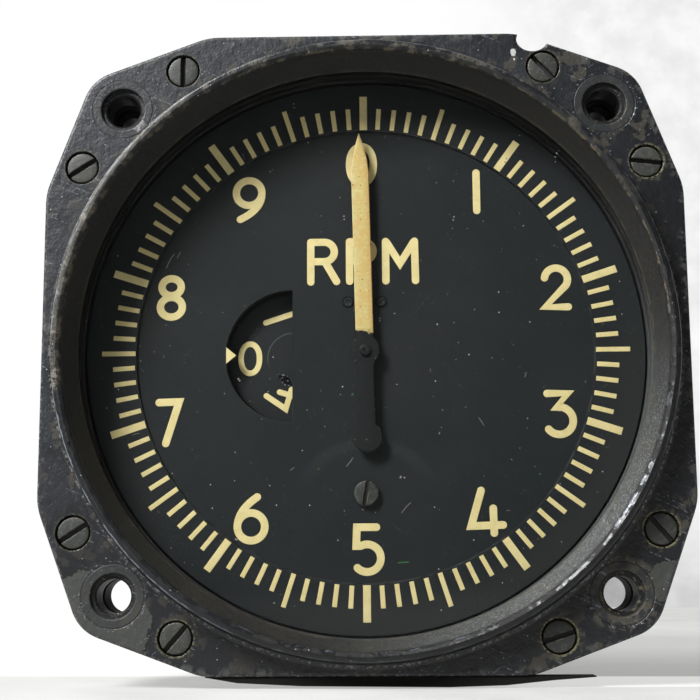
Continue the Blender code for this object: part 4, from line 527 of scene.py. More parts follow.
BOWL = joined([(-1.67, 2.64)], arc(0.15, 1.32, 1.32, 90, -90), [(-1.67, 0.0)])
FIGURES = {
    "0": [("ring", arc(0, 0, 2.55, 0, 360, squeeze=0.63, power=0.93)[:-1])],
    "1": [("line", [(0, 2.6), (0, -2.6)])],
    "2": [("line", joined(arc(0.05, 1.1, 1.52, 172, -36), [(-1.45, -2.62), (1.55, -2.62)]))],
    "3": [("line", joined([(-1.55, 2.72), (1.2, 2.72), (-0.42, 0.88)],
                          arc(-0.05, -0.86, 1.8, 84, -142)))],
    "4": [("line", [(-0.7, 2.65), (-2.05, -1.9), (2.05, -1.78)]), ("line", [(0.83, 0.35), (0.9, -2.8)])],
    "5": [("line", joined([(1.0, 2.9), (-1.5, 2.9), (-1.6, 0.5)],
                          arc(-0.2, -1.05, 1.76, 118, -136)))],
    "6": [("ring", arc(0.05, -1.02, 1.78, 0, 360)[:-1]),
          ("line", bend((0.83, 2.8), (-1.68, 1.15), (-1.73, -1.02)))],
    "7": [("line", [(-1.35, 2.62), (1.28, 2.7), (-0.4, -2.75)])],
    "8": [("ring", arc(0, 1.42, 1.15, 0, 360, squeeze=1.12)[:-1]),
          ("ring", arc(0, -1.3, 1.33, 0, 360, squeeze=1.1)[:-1])],
    "9": [("ring", arc(0, 0.93, 1.72, 0, 360)[:-1]),
          ("line", bend((1.72, 0.8), (1.72, -1.35), (-1.15, -2.72)))],
    "R": [("line", [(-1.67, 2.64), (-1.67, -2.75)]), ("line", BOWL), ("line", [(0.2, 0.0), (1.75, -2.72)])],
    "P": [("line", [(-1.67, 2.64), (-1.67, -2.75)]), ("line", BOWL)],
    "M": [("line", [(-1.95, -2.75), (-1.95, 2.6)]), ("line", [(1.98, -2.75), (1.9, 2.6)]),
          ("line", [(-1.8, 2.45), (-0.05, -0.4), (1.75, 2.45)])],
}


def figure(name, character, x, up, front, stroke=1.0, scale=1.0, degrees=0.0):
    """Turns, scales, places and joins a character's strokes, each 2 microns above the last."""
    c, s = math.cos(math.radians(degrees)), math.sin(math.radians(degrees))
    parts = []
    for number, (kind, line) in enumerate(FIGURES[character]):
        line = np.asarray(line, float) * scale
        line = np.stack([x + line[:, 0] * c - line[:, 1] * s, up + line[:, 0] * s + line[:, 1] * c], axis=1)
        half = np.full(len(line), stroke / 2)
        if kind == "line":
            line, half = run_out(line, stroke / 2)
        layer = front - 0.002 * number
        parts.append(ribbon(name, line, half, layer, front + 0.1, closed=kind == "ring"))
    whole = parts.pop(0)
    return worked(whole, parts, "UNION") if parts else whole


DIAL_FIGURES = [("1", 15.08, 21.63), ("2", 25.30, 8.42), ("3", 25.29, -8.44), ("4", 15.55, -20.95),
                ("5", 0.26, -25.81), ("6", -14.97, -21.73), ("7", -25.75, -9.1), ("8", -25.69, 7.57),
                ("9", -15.43, 20.88), ("0", -0.30, 25.54), ("R", -5.47, 12.25), ("P", -0.30, 12.29),
                ("M", 4.79, 12.31)]
for character, x, up in DIAL_FIGURES:
    piece = figure(f"dial_figure_{character}", character, x, up, FACE - 0.045)
    fitted(piece, "frame", "lume_paint", crease=30)
print("dial figures:", len(DIAL_FIGURES))

# %% [markdown]
# A hundred marks stand round the dial, long ones every fifth and long broad ones every tenth. One mark
# is twelve points; the other ninety-nine are the same points turned about the dial's middle, which
# numpy does for all of them in one multiplication.

# %% The marks and the index
def marks(name, numbers, middle, length, width):
    """Eased plates on the radii at multiples of 3.6 degrees clockwise from the top."""
    along, across = np.array([-1, -1, 1, 1]), np.array([-1, 1, 1, -1])
    rings = [(0, TRACK + 0.06), (0, TRACK - 0.025), (0.04, TRACK - 0.05)]
    radius = np.stack([middle + along * (length / 2 - shy) for shy, _ in rings])
    side = np.stack([across * (width / 2 - shy) for shy, _ in rings])
    depth = np.array([d for _, d in rings])[:, None]
    angle = (math.pi / 2 - np.asarray(numbers) * math.tau / 100)[:, None, None]
    x = radius * np.cos(angle) + side * np.sin(angle)
    up = radius * np.sin(angle) - side * np.cos(angle)
    faces = np.concatenate([grid_faces(3, 4), [[3, 2, 1, 0], [8, 9, 10, 11]]])
    faces = (faces[None] + 12 * np.arange(len(numbers))[:, None, None]).reshape(-1, 4)
    return skin(name, placed(x, up, depth), faces)


every = np.arange(100)
for name, numbers, middle, length, width in (
        ("dial_marks_short", every[every % 5 != 0], 31.83, 2.9, 0.62),
        ("dial_marks_five", every[every % 10 == 5], 32.48, 4.45, 0.63),
        ("dial_marks_ten", every[every % 10 == 0], 32.63, 4.7, 1.0)):
    fitted(marks(name, numbers, middle, length, width), "frame", "lume_paint")
triangle = eased([(-18.34, 0.82, 0.1), (-18.34, -1.4, 0.1), (-17.0, -0.29, 0.08)], closed=True)
rows = [(0, FACE + 0.06), (0, FACE - 0.02), (0.03, FACE - 0.05)]
fitted(slab("window_index", triangle, rows), "frame", "lume_paint")
print("marks:", len(every))

# %% [markdown]
# Behind the window turns a disc with the figures 0 to 4, each a fifth of a turn from the next and standing
# upright when it reaches the index at the left. It turns against the pointer, so the figures follow
# each other clockwise.

# %% The thousands disc
def thousands_disc():
    profile = eased([(0, 8.9), (8.6, 8.9, 0.06), (8.6, 9.4), (1.8, 9.4),
                     (1.8, 10.2), (0.9, 10.2), (0.9, 9.2), (0, 9.2)])
    return turned("thousands_disc_painted", profile, WINDOW_X, WINDOW_UP, steps=96)


fitted(thousands_disc(), "thousands_group", "disc_paint", "thousands_disc")
for number in range(5):
    angle = math.radians(180 - 72 * number)
    scale, above = (0.66, 0.34) if number == 4 else (0.77, 0.0)      # the four is drawn smaller
    x, up = WINDOW_X + 5.75 * math.cos(angle), WINDOW_UP + above + 5.75 * math.sin(angle)
    piece = figure(f"disc_figure_{number}", str(number), x, up, 8.86, 0.76, scale, -72 * number)
    fitted(piece, "thousands_group", "lume_paint", crease=30)
print("disc figures: 5")

# %% [markdown]
# The glass is a turned disc with ground edges, held between the throat's shoulder and a rubber ring.
# A thin gasket fills the joint between the two flanges, and its edge shows as a dark line from the
# side and inside the mounting holes, so it is cut round too.

# %% The glass, its seal and the gasket
disc = eased([(0, 2.3), (38.6, 2.3, 0.25), (38.6, 3.9, 0.25), (0, 3.9)])
fitted(turned("cover_glass_clear", disc, steps=160), "frame", "window_glass", "cover_glass")
section = eased([(37.1, 4.2, 0.3), (37.1, 5.7, 0.3), (38.6, 5.7, 0.3), (38.6, 4.2, 0.3)], closed=True)
seal = turned("glass_seal_soft", section, steps=128, ring=True)
fitted(seal, "frame", "seal_rubber", "glass_seal")
rows = eased([(3, 4.9), (0, 4.9, 0.15), (0, 5.7, 0.15), (3, 5.7)])
gasket = slab("flange_gasket_soft", flange_outline(0.3), rows, middle=(0, 0))
tools = [rod(2.45, 4, 7, *place, 40) for place in HOLES] + [rod(1.55, 4, 7, *place) for place in SCREWS]
tools.append(rod(39.2, 4, 7, steps=160))
worked(gasket, [gathered("bores", tools), notch_tool(7)])
fitted(gasket, "frame", "seal_rubber", "flange_gasket")
print("glass radius 38.6 mm, thickness 1.6 mm")

# %% [markdown]
# The receptacle at the rear has a square flange and a threaded barrel. The thread is no set of rings but
# one helix: the radius dips as a triangle wave of how far along the barrel a point lies, less its
# share of a turn, and it runs out at both ends. Five keyways inside steer the plug.

# %% The receptacle
def barrel():
    """Radius: 7.94 less a triangle wave of (depth / pitch - angle / turn), faded at the thread's ends."""
    steps, pitch = 96, 1.058
    depth = np.concatenate([[84.4, 92.0], np.linspace(92.3, 102.3, 130), [102.6, 103.0]])
    angle = np.arange(steps) * math.tau / steps
    phase = (depth[:, None] / pitch - angle[None] / math.tau) % 1
    fade = np.clip((depth - 92.3) / 1.0, 0, 1) * np.clip((102.3 - depth) / 0.8, 0, 1)
    radius = 7.94 - 0.5 * fade[:, None] * (1 - abs(2 * phase - 1))
    radius[-1] = 7.54
    bore = np.array([(7.0, 103.0), (6.9, 102.9), (6.9, 84.4)])
    radius = np.concatenate([radius, np.broadcast_to(bore[:, :1], (3, steps))])
    depth = np.concatenate([depth, bore[:, 1]])
    points = placed(radius * np.cos(angle), radius * np.sin(angle), depth[:, None])
    return skin("barrel", points, grid_faces(len(depth), steps, round_rows=True))


def receptacle():
    corner = [(12.7, -12.7, 2.4), (12.7, 12.7, 2.4), (-12.7, 12.7, 2.4), (-12.7, -12.7, 2.4)]
    rows = eased([(1.5, 89.4), (0, 89.4, 0.1), (0, 91.2, 0.35), (1.5, 91.2)])
    flange = slab("receptacle_shell_threaded", eased(corner, closed=True, steps=8), rows, middle=(0, 0))
    seat = [(0, 80), (1.5, 80), (1.5, 91.05), (1.7, 91.3), (1.7, 95), (0, 95)]
    tools = [turned("bore", seat, *place, steps=32) for place in RECEPTACLE_SCREWS]
    tools.append(rod(7.3, 80, 95, steps=64))
    worked(flange, [gathered("bores", tools)])
    worked(flange, [barrel()], "UNION")
    keys = [rod(0.75, 95.5, 104, 6.75 * math.cos(a), 6.75 * math.sin(a), 16)
            for a in np.radians([90, 162, 234, 306, 18])]
    return worked(flange, [gathered("keys", keys)])


shell = fitted(receptacle(), "frame", "aluminium", "receptacle_shell")
PINS = [(0.0, 3.4), (-2.94, -1.7), (2.94, -1.7)]
plug = eased([(0, 84.4), (6.6, 84.4), (6.6, 94.0, 0.15), (5.9, 94.0), (5.75, 93.75), (0, 93.75)])
insert = turned("receptacle_insert_moulded", plug, steps=64)
well = [(0, 80), (0.95, 80), (0.95, 93.3), (1.25, 93.9), (1.25, 96), (0, 96)]
worked(insert, [gathered("wells", [turned("well", well, *place, steps=24) for place in PINS])])
fitted(insert, "frame", "insulator", "receptacle_insert")
contact = eased([(0, 81.4), (0.5, 81.4), (0.55, 80.4), (0.8, 80.4, 0.1), (0.8, 98.4, 0.55), (0, 98.4)])
for number, place in enumerate(PINS, start=1):
    pin = turned(f"contact_pin_{number}_round", contact, *place, steps=24)
    fitted(pin, "frame", "silvered_contact", f"contact_pin_{number}")
for number, (x, up) in enumerate(RECEPTACLE_SCREWS, start=1):
    screw = slotted(f"receptacle_screw_{number}_worn", x, up, 92.8, 91.5, 86.0, 2.2, 1.2, 0.6, 92.1,
                    25 * (number - 1) + 20, facing=-1)
    fitted(screw, "frame", "black_steel", f"receptacle_screw_{number}")
print("receptacle faces:", len(shell.data.polygons))

# %% [markdown]
# A finish could be a picture wrapped on the piece, but a picture has one scale and one place. Here each
# finish is worked out at every point from where that point lies on the instrument, so wear can sit
# exactly on an edge. Writing such sums as chains of nodes by hand is tedious; a small class lets a
# socket be added, multiplied and compared like a number, and each step adds its Math node.

# %% Readings: numbers that vary over a surface
def feed(socket, value):
    """Links a reading or a node's output to a socket, or sets a constant on it."""
    if isinstance(value, Reading):
        value = value.socket
    if isinstance(value, bpy.types.NodeSocket):
        socket.id_data.links.new(value, socket)
    else:
        socket.default_value = value


def grown(tree, kind, values=(), output=0, **settings):
    """Adds a node, feeds its sockets by name or number, and returns one output as a reading."""
    node = tree.nodes.new("ShaderNode" + kind)
    for name, value in settings.items():
        setattr(node, name, value)
    for place, value in dict(values).items():
        feed(node.inputs[place], value)
    return Reading(node.outputs[output])


def joining(operation):
    """A method that joins a reading with one more value in a Math node."""
    return lambda self, other: self.sum_of(operation, other)


class Reading:
    """A node's output that carries a number; + - * / and the methods below add the nodes for it."""

    def __init__(self, socket):
        self.socket = socket

    def sum_of(self, operation, *others):
        return grown(self.socket.id_data, "Math", enumerate((self, *others)), operation=operation)

    __add__ = __radd__ = joining("ADD")
    __mul__ = __rmul__ = joining("MULTIPLY")
    __sub__, __truediv__ = joining("SUBTRACT"), joining("DIVIDE")
    least, most = joining("MINIMUM"), joining("MAXIMUM")

    def __rsub__(self, other):
        return self * -1 + other

    def size(self):
        return self.sum_of("ABSOLUTE")

    def rise(self, low, high):
        """0 below low, 1 above high, a smooth step between; with low above high it falls instead."""
        values = {"Value": self, "From Min": low, "From Max": high}
        return grown(self.socket.id_data, "MapRange", values, interpolation_type="SMOOTHSTEP")

    def band(self, low, high, soft):
        """1 between low and high, fading to 0 over `soft` on each side."""
        return self.rise(low - soft, low) * self.rise(high + soft, high)


CREAM = (232, 217, 155)


def tone(red, green, blue):
    """A colour as the photograph shows it (0 to 255), in the linear numbers that shaders take."""
    c = np.array([red, green, blue]) / 255
    linear = np.where(c <= 0.04045, c / 12.92, ((c + 0.055) / 1.055) ** 2.4)
    return (*[float(v) for v in linear], 1.0)


print("a photograph's cream in linear numbers:", [round(v, 3) for v in tone(*CREAM)])

# %% [markdown]
# A finish starts as one even coat and then takes layers: each layer has an amount between 0 and 1 at
# every point, and brings its own colour, roughness, metal and height. That is also how the real
# surfaces came about: casting, primer, enamel, grease, dust and chips, one over the other. Heights are
# in millimetres, and a Bump node turns them into the way that light meets the surface.

# %% Finishes built of layers
finishes = {}


class Finish:
    """One material: places in instrument millimetres, patterns, and layers over an even coat."""

    def __init__(self, name, colour, rough, metal=0.0, specular=0.5):
        self.name, self.material = name, bpy.data.materials.new(name + "_worn")
        self.material.use_nodes = True
        self.tree = self.material.node_tree
        self.shader = self.tree.nodes["Principled BSDF"]
        self.shader.inputs["Specular IOR Level"].default_value = specular
        self.where = self.tree.nodes.new("ShaderNodeTexCoord")
        x, depth, up = self.parts("SeparateXYZ", self.where.outputs["Object"])
        self.x, self.depth, self.up = x * (1 / MM), depth * (1 / MM) - FRONT, up * (1 / MM) - AXIS_UP
        self.colour, self.rough, self.metal, self.height = tone(*colour), rough, metal, 0.0

    def parts(self, kind, whole):
        """The three numbers that make up a place, a direction or a colour."""
        return [Reading(socket) for socket in grown(self.tree, kind, {0: whole}).socket.node.outputs]

    def facing(self):
        """How much the surface faces the front, from 1 for flat on to -1 for the rear."""
        return self.parts("SeparateXYZ", self.where.outputs["Normal"])[1] * -1

    def distance(self, x=0.0, up=0.0):
        """Distance in the front view from a place, the square root of the squared steps."""
        right, above = self.x - x, self.up - up
        return (right * right + above * above).sum_of("SQRT")

    def spread(self, size, stretch=(1, 1, 1), turn=0.0, seed=0.0):
        """Object coordinates turned in the front view, then counted in units of `size` millimetres."""
        return grown(self.tree, "Mapping", {
            "Vector": self.where.outputs["Object"], "Location": (seed, seed * 1.7, seed * 0.6),
            "Rotation": (0, math.radians(turn), 0), "Scale": [MM * size * s for s in stretch],
        }, vector_type="TEXTURE")

    def noise(self, size, detail=3.0, rough=0.55, **spread):
        """Cloudy noise about 0.5 with blotches about `size` millimetres wide."""
        values = {"Vector": self.spread(size, **spread), "Scale": 1.0, "Detail": detail, "Roughness": rough}
        return grown(self.tree, "TexNoise", values, "Fac")

    def specks(self, size, reach, share, flat=False, seed=0.0):
        """Dots up to `reach` cells wide in a share of a random pattern's cells, in space or flat."""
        if flat:
            plane = [value * (1 / size) + seed * 71 for value in (self.x, self.up)]
            place = grown(self.tree, "CombineXYZ", enumerate(plane))
        else:
            place = self.spread(size, seed=seed)
        cells = grown(self.tree, "TexVoronoi", {"Vector": place, "Scale": 1.0}, "Distance",
                      voronoi_dimensions="2D" if flat else "3D")
        red, green, _ = self.parts("SeparateColor", cells.socket.node.outputs["Color"])
        inside = (red * reach * 0.8 + reach * 0.2 - cells).rise(0, reach * 0.3)
        return inside * green.rise(1 - share, 1 - share + 0.001)

    def scratches(self, size, share, turn=0.0, seed=0.0):
        """Thin streaks along one direction, broken by a second, coarser noise."""
        thin = self.noise(size, detail=1.0, stretch=(45, 1, 1), turn=turn, seed=seed)
        gaps = self.noise(size * 1.6, detail=2.0, turn=turn + 20, seed=seed + 3)
        return thin.rise(share, share + 0.02) * gaps.rise(0.5, 0.58)

    def layer(self, amount, colour=None, rough=None, metal=None, height=0.0):
        """Lays colour, roughness, metal and height over what is there, as far as amount goes."""
        if colour is not None:
            values = {0: amount, 6: self.colour, 7: tone(*colour)}
            self.colour = grown(self.tree, "Mix", values, 2, data_type="RGBA")
        if rough is not None:
            self.rough = self.rough + (rough - self.rough) * amount
        if metal is not None:
            self.metal = self.metal + (metal - self.metal) * amount
        if height:
            self.height = amount * height + self.height
        return self

    def done(self):
        """Connects the last colour, roughness, metal and height, and files the material by its name."""
        for name, value in (("Base Color", self.colour), ("Roughness", self.rough), ("Metallic", self.metal)):
            feed(self.shader.inputs[name], value)
        if isinstance(self.height, Reading):
            bump = grown(self.tree, "Bump", {"Distance": MM, "Height": self.height})
            feed(self.shader.inputs["Normal"], bump)
        finishes[self.name] = self.material
        return self.material


print("a finish offers:", [name for name in vars(Finish) if not name.startswith("_")])

# %% [markdown]
# The bezel's enamel was near black and is now tired: a cloudy grey film, an olive brown where hands and the
# panel rubbed it, bare light metal along its edges, and circles left by washers. Light and shade are painted
# in as well: sheen in the grey film, highlights on the ring's rim, a lit lower throat, black in the holes and
# the ring's shadow on the flange. Each kind of wear has its own mask: how far a point is inside the flange's
# outline, how far from a hole, and whether the surface is turning from one face to another, which only
# happens on a rounded edge.

# %% The bezel's enamel
def flange_inside(finish):
    """Millimetres inside the outline: the least of the distances to a side, two slants and their mirrors."""
    x, up = finish.x.size(), finish.up.size()
    flat, steep, reach = 0.3467, 0.938, 45.78          # the slant's direction, and how far out it lies
    slants = (reach - (x * flat + up * steep)).least(reach - (x * steep + up * flat))
    return (FLANGE_HALF - x).least(FLANGE_HALF - up).least(slants)


def nearest(finish, places):
    """Distance to the nearest of several places in the front view."""
    far = finish.distance(*places[0])
    for place in places[1:]:
        far = far.least(finish.distance(*place))
    return far


def bezel_enamel():
    paint = Finish("bezel_enamel", (22, 24, 27), 0.34, specular=0.4)
    layer, noise, x, up, depth = paint.layer, paint.noise, paint.x, paint.up, paint.depth
    radius, front = paint.distance(), paint.facing()
    edge = front.rise(0.12, 0.4) * front.rise(0.985, 0.88)
    grain = noise(0.5, detail=2)
    flakes = noise(1.6, rough=0.65, seed=0.02)
    fine = noise(0.45, detail=2, rough=0.7, seed=0.05)
    broad = noise(5, rough=0.6, seed=0.11)
    down = x - up         # how far towards the lower right
    left, lower, lowest = x.rise(-8, -34), down.rise(-20, 40), down.rise(35, 54)
    on_ring = radius.band(38.0, 39.9, 0.15)
    flange = radius.rise(40.0, 41.0)
    throat = radius.rise(38.25, 38.0) * depth.rise(2.4, 2.2)
    hole = nearest(paint, HOLES)
    screw = nearest(paint, SCREWS)
    # A grey film, partly rubbed paint and partly painted sheen, strongest at the left and the top towards the
    # lamp, with streaks of wear in it.
    rubbed_and_sheen = (up * 0.009 - x * 0.008 + broad * 1.5 - 0.4).rise(0.1, 0.95) * flange
    layer(rubbed_and_sheen * 0.85, (36, 39, 44), 0.48)
    layer(rubbed_and_sheen * noise(0.5, stretch=(0.6, 1, 3.2), seed=0.3).rise(0.5, 0.66), (30, 32, 36), 0.36)
    streaks = noise(0.4, rough=0.7, stretch=(0.8, 1, 2.2), seed=0.33).rise(0.6, 0.7)
    layer(rubbed_and_sheen * streaks * 0.5, (90, 94, 104), 0.38, 0.25)
    brown = noise(4.2, rough=0.6, seed=0.5).rise(0.6, 0.63) * flange
    layer(brown * (1 - left * 0.6) * (0.4 + fine * 0.8), (56, 53, 46), 0.55)
    foot = radius.band(39.7, 41.0, 0.4) * depth.rise(-1.6, -0.6)
    layer(foot * flakes.rise(0.54, 0.62) * 0.7, (56, 53, 45), 0.6)
    # Painted shadow: beside the ring's wall at the lower right the flange is painted near black, as the
    # ring's shadow.
    layer(flange * radius.rise(44.2, 41.6) * lower.rise(0.45, 0.85) * 0.85, (15, 16, 18), 0.42)
    # Enamel flaked off in a few patches and left a dull grey coat with a dark brink.
    for *place, reach in PEELED:
        far = paint.distance(*place) + (flakes - 0.5) * 2.4
        layer(far.rise(reach, reach - 0.12) * flange, (56, 58, 55), 0.52)
        layer(far.band(reach, reach + 0.12, 0.08) * flange * 0.8, (13, 13, 14), 0.4)
    # The ring's rim: olive where it is worn, most at the left, with dark pits and light edges.
    rim = on_ring * (-2.2 - depth).rise(0.0, 0.4)
    kept = 1 - up.rise(-5.7, -6.3)
    olive = (0.55 - lower * 0.5) * kept.most(x.rise(-20, 0))
    layer(rim * (broad + left * 0.2).rise(0.5, 0.58) * olive, (88, 85, 74), 0.55, 0.05)
    layer(rim * flakes.rise(0.58, 0.64) * (0.3 + left * 0.7) * kept, (112, 106, 96), 0.6)
    layer(rim * fine.rise(0.42, 0.34), (18, 18, 20), 0.4)
    layer(rim * lower.rise(0.5, 0.8) * 0.8, (15, 16, 18), 0.3)
    proud = (-2.2 - depth).rise(0, 0.3)
    lip = (radius + (flakes - 0.5) * 0.6).band(38.3, 38.44, 0.06) * proud
    layer(lip * flakes.rise(0.45, 0.6) * up.rise(-4, 8), (84, 75, 54), 0.5)
    # Painted highlights: the outer crest is bare worn metal and also a painted highlight, strongest at the
    # left towards the lamp, and the bright broken line on the inner lip at the lower right is a painted
    # highlight.
    crest = (radius + (flakes - 0.5) * 0.5).band(39.36, 39.5, 0.06) * proud
    run = up.band(-22.5, -15, 1.5) * x.rise(10, 20)
    layer(crest * broad.rise(0.42, 0.5) * (0.15 + left * 0.6).least(1.0), (140, 146, 156), 0.3, 0.6)
    layer(lip * flakes.rise(0.42, 0.5) * run * 0.8, (186, 192, 202), 0.28, 0.7)
    layer(lip * flakes.rise(0.54, 0.6) * lower.rise(0.6, 0.9) * 0.6, (100, 104, 110), 0.35, 0.4)
    dull = radius.band(38.2, 38.9, 0.1) * proud * flakes.rise(0.53, 0.45)
    layer(dull * 0.9, (14, 14, 15), 0.75)
    crack = (radius + (flakes - 0.5) * 1.1).band(38.86, 38.94, 0.04)
    layer(rim * crack * lower.rise(0.5, 0.9), (8, 8, 8), 0.4)
    # Edges of the flange.
    outside = edge * (1 - on_ring) * radius.rise(38.6, 39.0)
    layer(outside * fine.rise(0.52, 0.62), (112, 113, 112), 0.42, 0.35)
    inside = flange_inside(paint).rise(1.6, 0.1) * depth.rise(1.0, 0.3) * flange
    layer(inside * flakes.rise(0.52, 0.62) * 0.8, (78, 79, 77), 0.48, 0.2)
    # Washers pressed flat rings round the mounting holes; thread and screw rubbed their mouths.
    layer(hole.rise(3.95, 3.75) * 0.8, (40, 42, 43), 0.46)
    layer(hole.rise(5.2, 4.4) * flakes.rise(0.5, 0.56) * lower * flange, (62, 59, 51), 0.55)
    layer(hole.band(3.9, 4.02, 0.08) * 0.75, (20, 21, 23), 0.5, height=-0.06)
    layer(hole.band(4.05, 4.3, 0.12) * fine.rise(0.58, 0.64), (120, 124, 132), 0.35, 0.4)
    # Painted shade: the bores of the mounting holes are painted near black.
    layer(hole.rise(2.9, 2.6), (13, 13, 13), 0.5)
    thread = hole.rise(3.0, 2.4) * fine.rise(0.54, 0.62) * lower * depth.rise(1.4, 0.2)
    layer(thread, (118, 112, 86), 0.5, 0.3)
    # The screws' sinks show brass green on the side turned to the light.
    brass = screw.band(2.02, 2.4, 0.08) * depth.rise(1.4, 1.0)
    layer(brass * fine.rise(0.42, 0.55) * (0.2 + lower * 0.8), (108, 104, 80), 0.45, 0.3)
    layer(screw.band(2.4, 3.0, 0.25) * flakes.rise(0.5, 0.62) * lower, (62, 59, 51), 0.5, 0.1)
    # The throat is rough black; towards the lower right, where the lamp falls on it, it is painted lighter
    # grey with bright specks as painted light.
    speckle = noise(0.22, detail=2, rough=0.7, seed=0.4)
    layer(throat, (17, 17, 17), 0.55)
    layer(throat * down.rise(28, 54) * 0.85, (50, 52, 52), 0.5)
    layer(throat * speckle.rise(0.52, 0.66) * (0.06 + lowest * 0.9), (122, 125, 123), 0.4)
    layer(throat * depth.band(1.55, 1.8, 0.15) * flakes.rise(0.4, 0.6) * 0.6, (70, 65, 48), 0.5)
    for streaks in (0.3, 0.68, 24, 0.0), (0.26, 0.69, -38, 0.2):
        layer(paint.scratches(*streaks) * flange * 0.6, (116, 120, 128), 0.36, 0.3)
    layer(paint.specks(1.4, 0.07, 0.3, flat=True, seed=0.9) * front.rise(0.5, 0.8), (150, 152, 154), 0.5)
    for nick_x, nick_up, wide, tall in NICKS:
        right, above = (x - nick_x) / wide, (up - nick_up) / tall
        spot = (right * right + above * above).sum_of("SQRT") + (flakes - 0.5) * 1.6
        layer(spot.rise(1.05, 0.85), (214, 214, 214), 0.35, 0.5)
    layer(noise(1.4, rough=0.62, seed=0.6), height=0.12)
    layer(grain, height=0.022)
    return paint.done()


PEELED = [(-33.6, -34.8, 6.9), (36.9, -30.1, 2.4), (42.1, -19.6, 1.8)]
NICKS = [(19.77, 38.5, 0.36, 0.5), (22.95, 32.6, 0.24, 0.34), (19.9, 37.6, 0.14, 0.2),
         (-1.1, 36.7, 0.4, 0.12)]
bezel_enamel()
print("bezel enamel nodes:", len(finishes["bezel_enamel"].node_tree.nodes))

# %% [markdown]
# The dial is matt black with a hint of green blue, and the eye finds it plain until it looks closely: there
# is dust, a few fibres and hairline scratches. The track is painted lighter at the lower right as painted
# light, and a faint light arc below the pointer's tail is a painted reflection.
# The figures are thick cream paint with tiny pits, darker where they touch the dial.

# %% The dial, the disc and the cream paint
def dial_paint(name, seed=0.0):
    paint = Finish(name, (32, 36, 37), 0.5, specular=0.14)
    paint.layer(paint.noise(14, detail=2, seed=seed).rise(0.35, 0.7), (36, 39, 40), 0.55)
    paint.layer(paint.noise(0.35, detail=2, seed=seed).rise(0.5, 0.7) * 0.5, (42, 45, 46), 0.6, height=0.006)
    darker = paint.noise(2.2, rough=0.65, seed=seed + 0.2).rise(0.6, 0.75)
    paint.layer(darker * 0.4, (25, 28, 29), 0.5)
    # Painted light: the track is painted lighter at the lower right, where the lamp falls.
    painted_light_track = paint.distance().rise(31, 36) * (paint.x - paint.up).rise(12, 48) * paint.depth.rise(8, 7)
    paint.layer(painted_light_track * 0.85, (46, 49, 48), 0.55)
    # Painted reflection: a faint light arc round the dial screw, below the pointer's tail.
    painted_reflection_arc = paint.distance(0.2, -21.5).band(9.2, 9.7, 1.0) * paint.up.rise(-19, -13)
    paint.layer(painted_reflection_arc * 0.3, (56, 60, 61), 0.6)
    for size, reach, share, shift, light in (
            (1.3, 0.05, 0.34, 0.1, (92, 95, 94)), (2.2, 0.034, 0.18, 0.4, (150, 152, 148)),
            (4.2, 0.024, 0.5, 0.7, (196, 194, 184)), (3.1, 0.04, 0.06, 0.9, (104, 90, 58))):
        paint.layer(paint.specks(size, reach, share, True, seed + shift), light, 0.8)
    paint.layer(paint.scratches(0.13, 0.735, -50, seed + 0.3) * 0.7, (84, 86, 86), 0.5)
    paint.layer(paint.scratches(0.13, 0.74, 38, seed + 0.8) * 0.7, (76, 78, 78), 0.5)
    return paint


def fibres(paint, hairs, colour):
    """Short straight marks: distance from each one's middle, measured along and across it."""
    for x, up, degrees, long, wide in hairs:
        c, s = math.cos(math.radians(degrees)), math.sin(math.radians(degrees))
        along = (paint.x - x) * c + (paint.up - up) * s
        across = (paint.up - up) * c - (paint.x - x) * s + along * along * 0.08
        mark = across.size().rise(wide, wide * 0.4) * along.size().rise(long / 2, long / 2 - 0.2)
        paint.layer(mark, colour, 0.7)


PALE_FIBRES = [      # x, up, degrees, length and width of each
    (-2.2, -14.6, 50, 1.3, 0.06), (-1.9, -14.2, 58, 1.0, 0.05), (5.1, -20.4, 48, 2.0, 0.06),
    (15.1, -9.3, -58, 1.5, 0.05), (-26.0, 12.6, 62, 2.4, 0.07), (-24.8, 13.4, 62, 1.2, 0.06),
    (-9.6, -15.3, 35, 0.8, 0.05), (21.0, -3.2, 70, 0.9, 0.05), (-30.0, -10.6, 15, 1.1, 0.05)]
GREEN_FIBRES = [(4.7, -27.4, 4, 1.6, 0.11), (22.5, -16.2, -20, 0.4, 0.14), (-1.7, -5.6, 60, 0.5, 0.14)]


def dial_face():
    paint = dial_paint("dial_paint")
    fibres(paint, PALE_FIBRES, (126, 126, 120))
    fibres(paint, GREEN_FIBRES, (58, 112, 66))
    step = paint.distance().band(STEP_R - 0.1, STEP_R + 0.12, 0.06)
    paint.layer(step * paint.noise(1.5, seed=0.2).rise(0.42, 0.6) * 0.5, (64, 66, 66), 0.45)
    rivets = nearest(paint, RIVETS)
    paint.layer(rivets.band(0.64, 0.8, 0.07), (12, 13, 14), 0.6)
    paint.layer(rivets.rise(0.62, 0.56) * paint.noise(0.3).rise(0.5, 0.6) * 0.7, (66, 68, 68), 0.35)
    tooth = paint.distance(WINDOW_X, WINDOW_UP).band(8.6, 8.9, 0.05) * paint.x.rise(-9.7, -9.9)
    paint.layer(tooth * paint.noise(0.8).rise(0.5, 0.6) * 0.5, (58, 58, 56), 0.5).done()


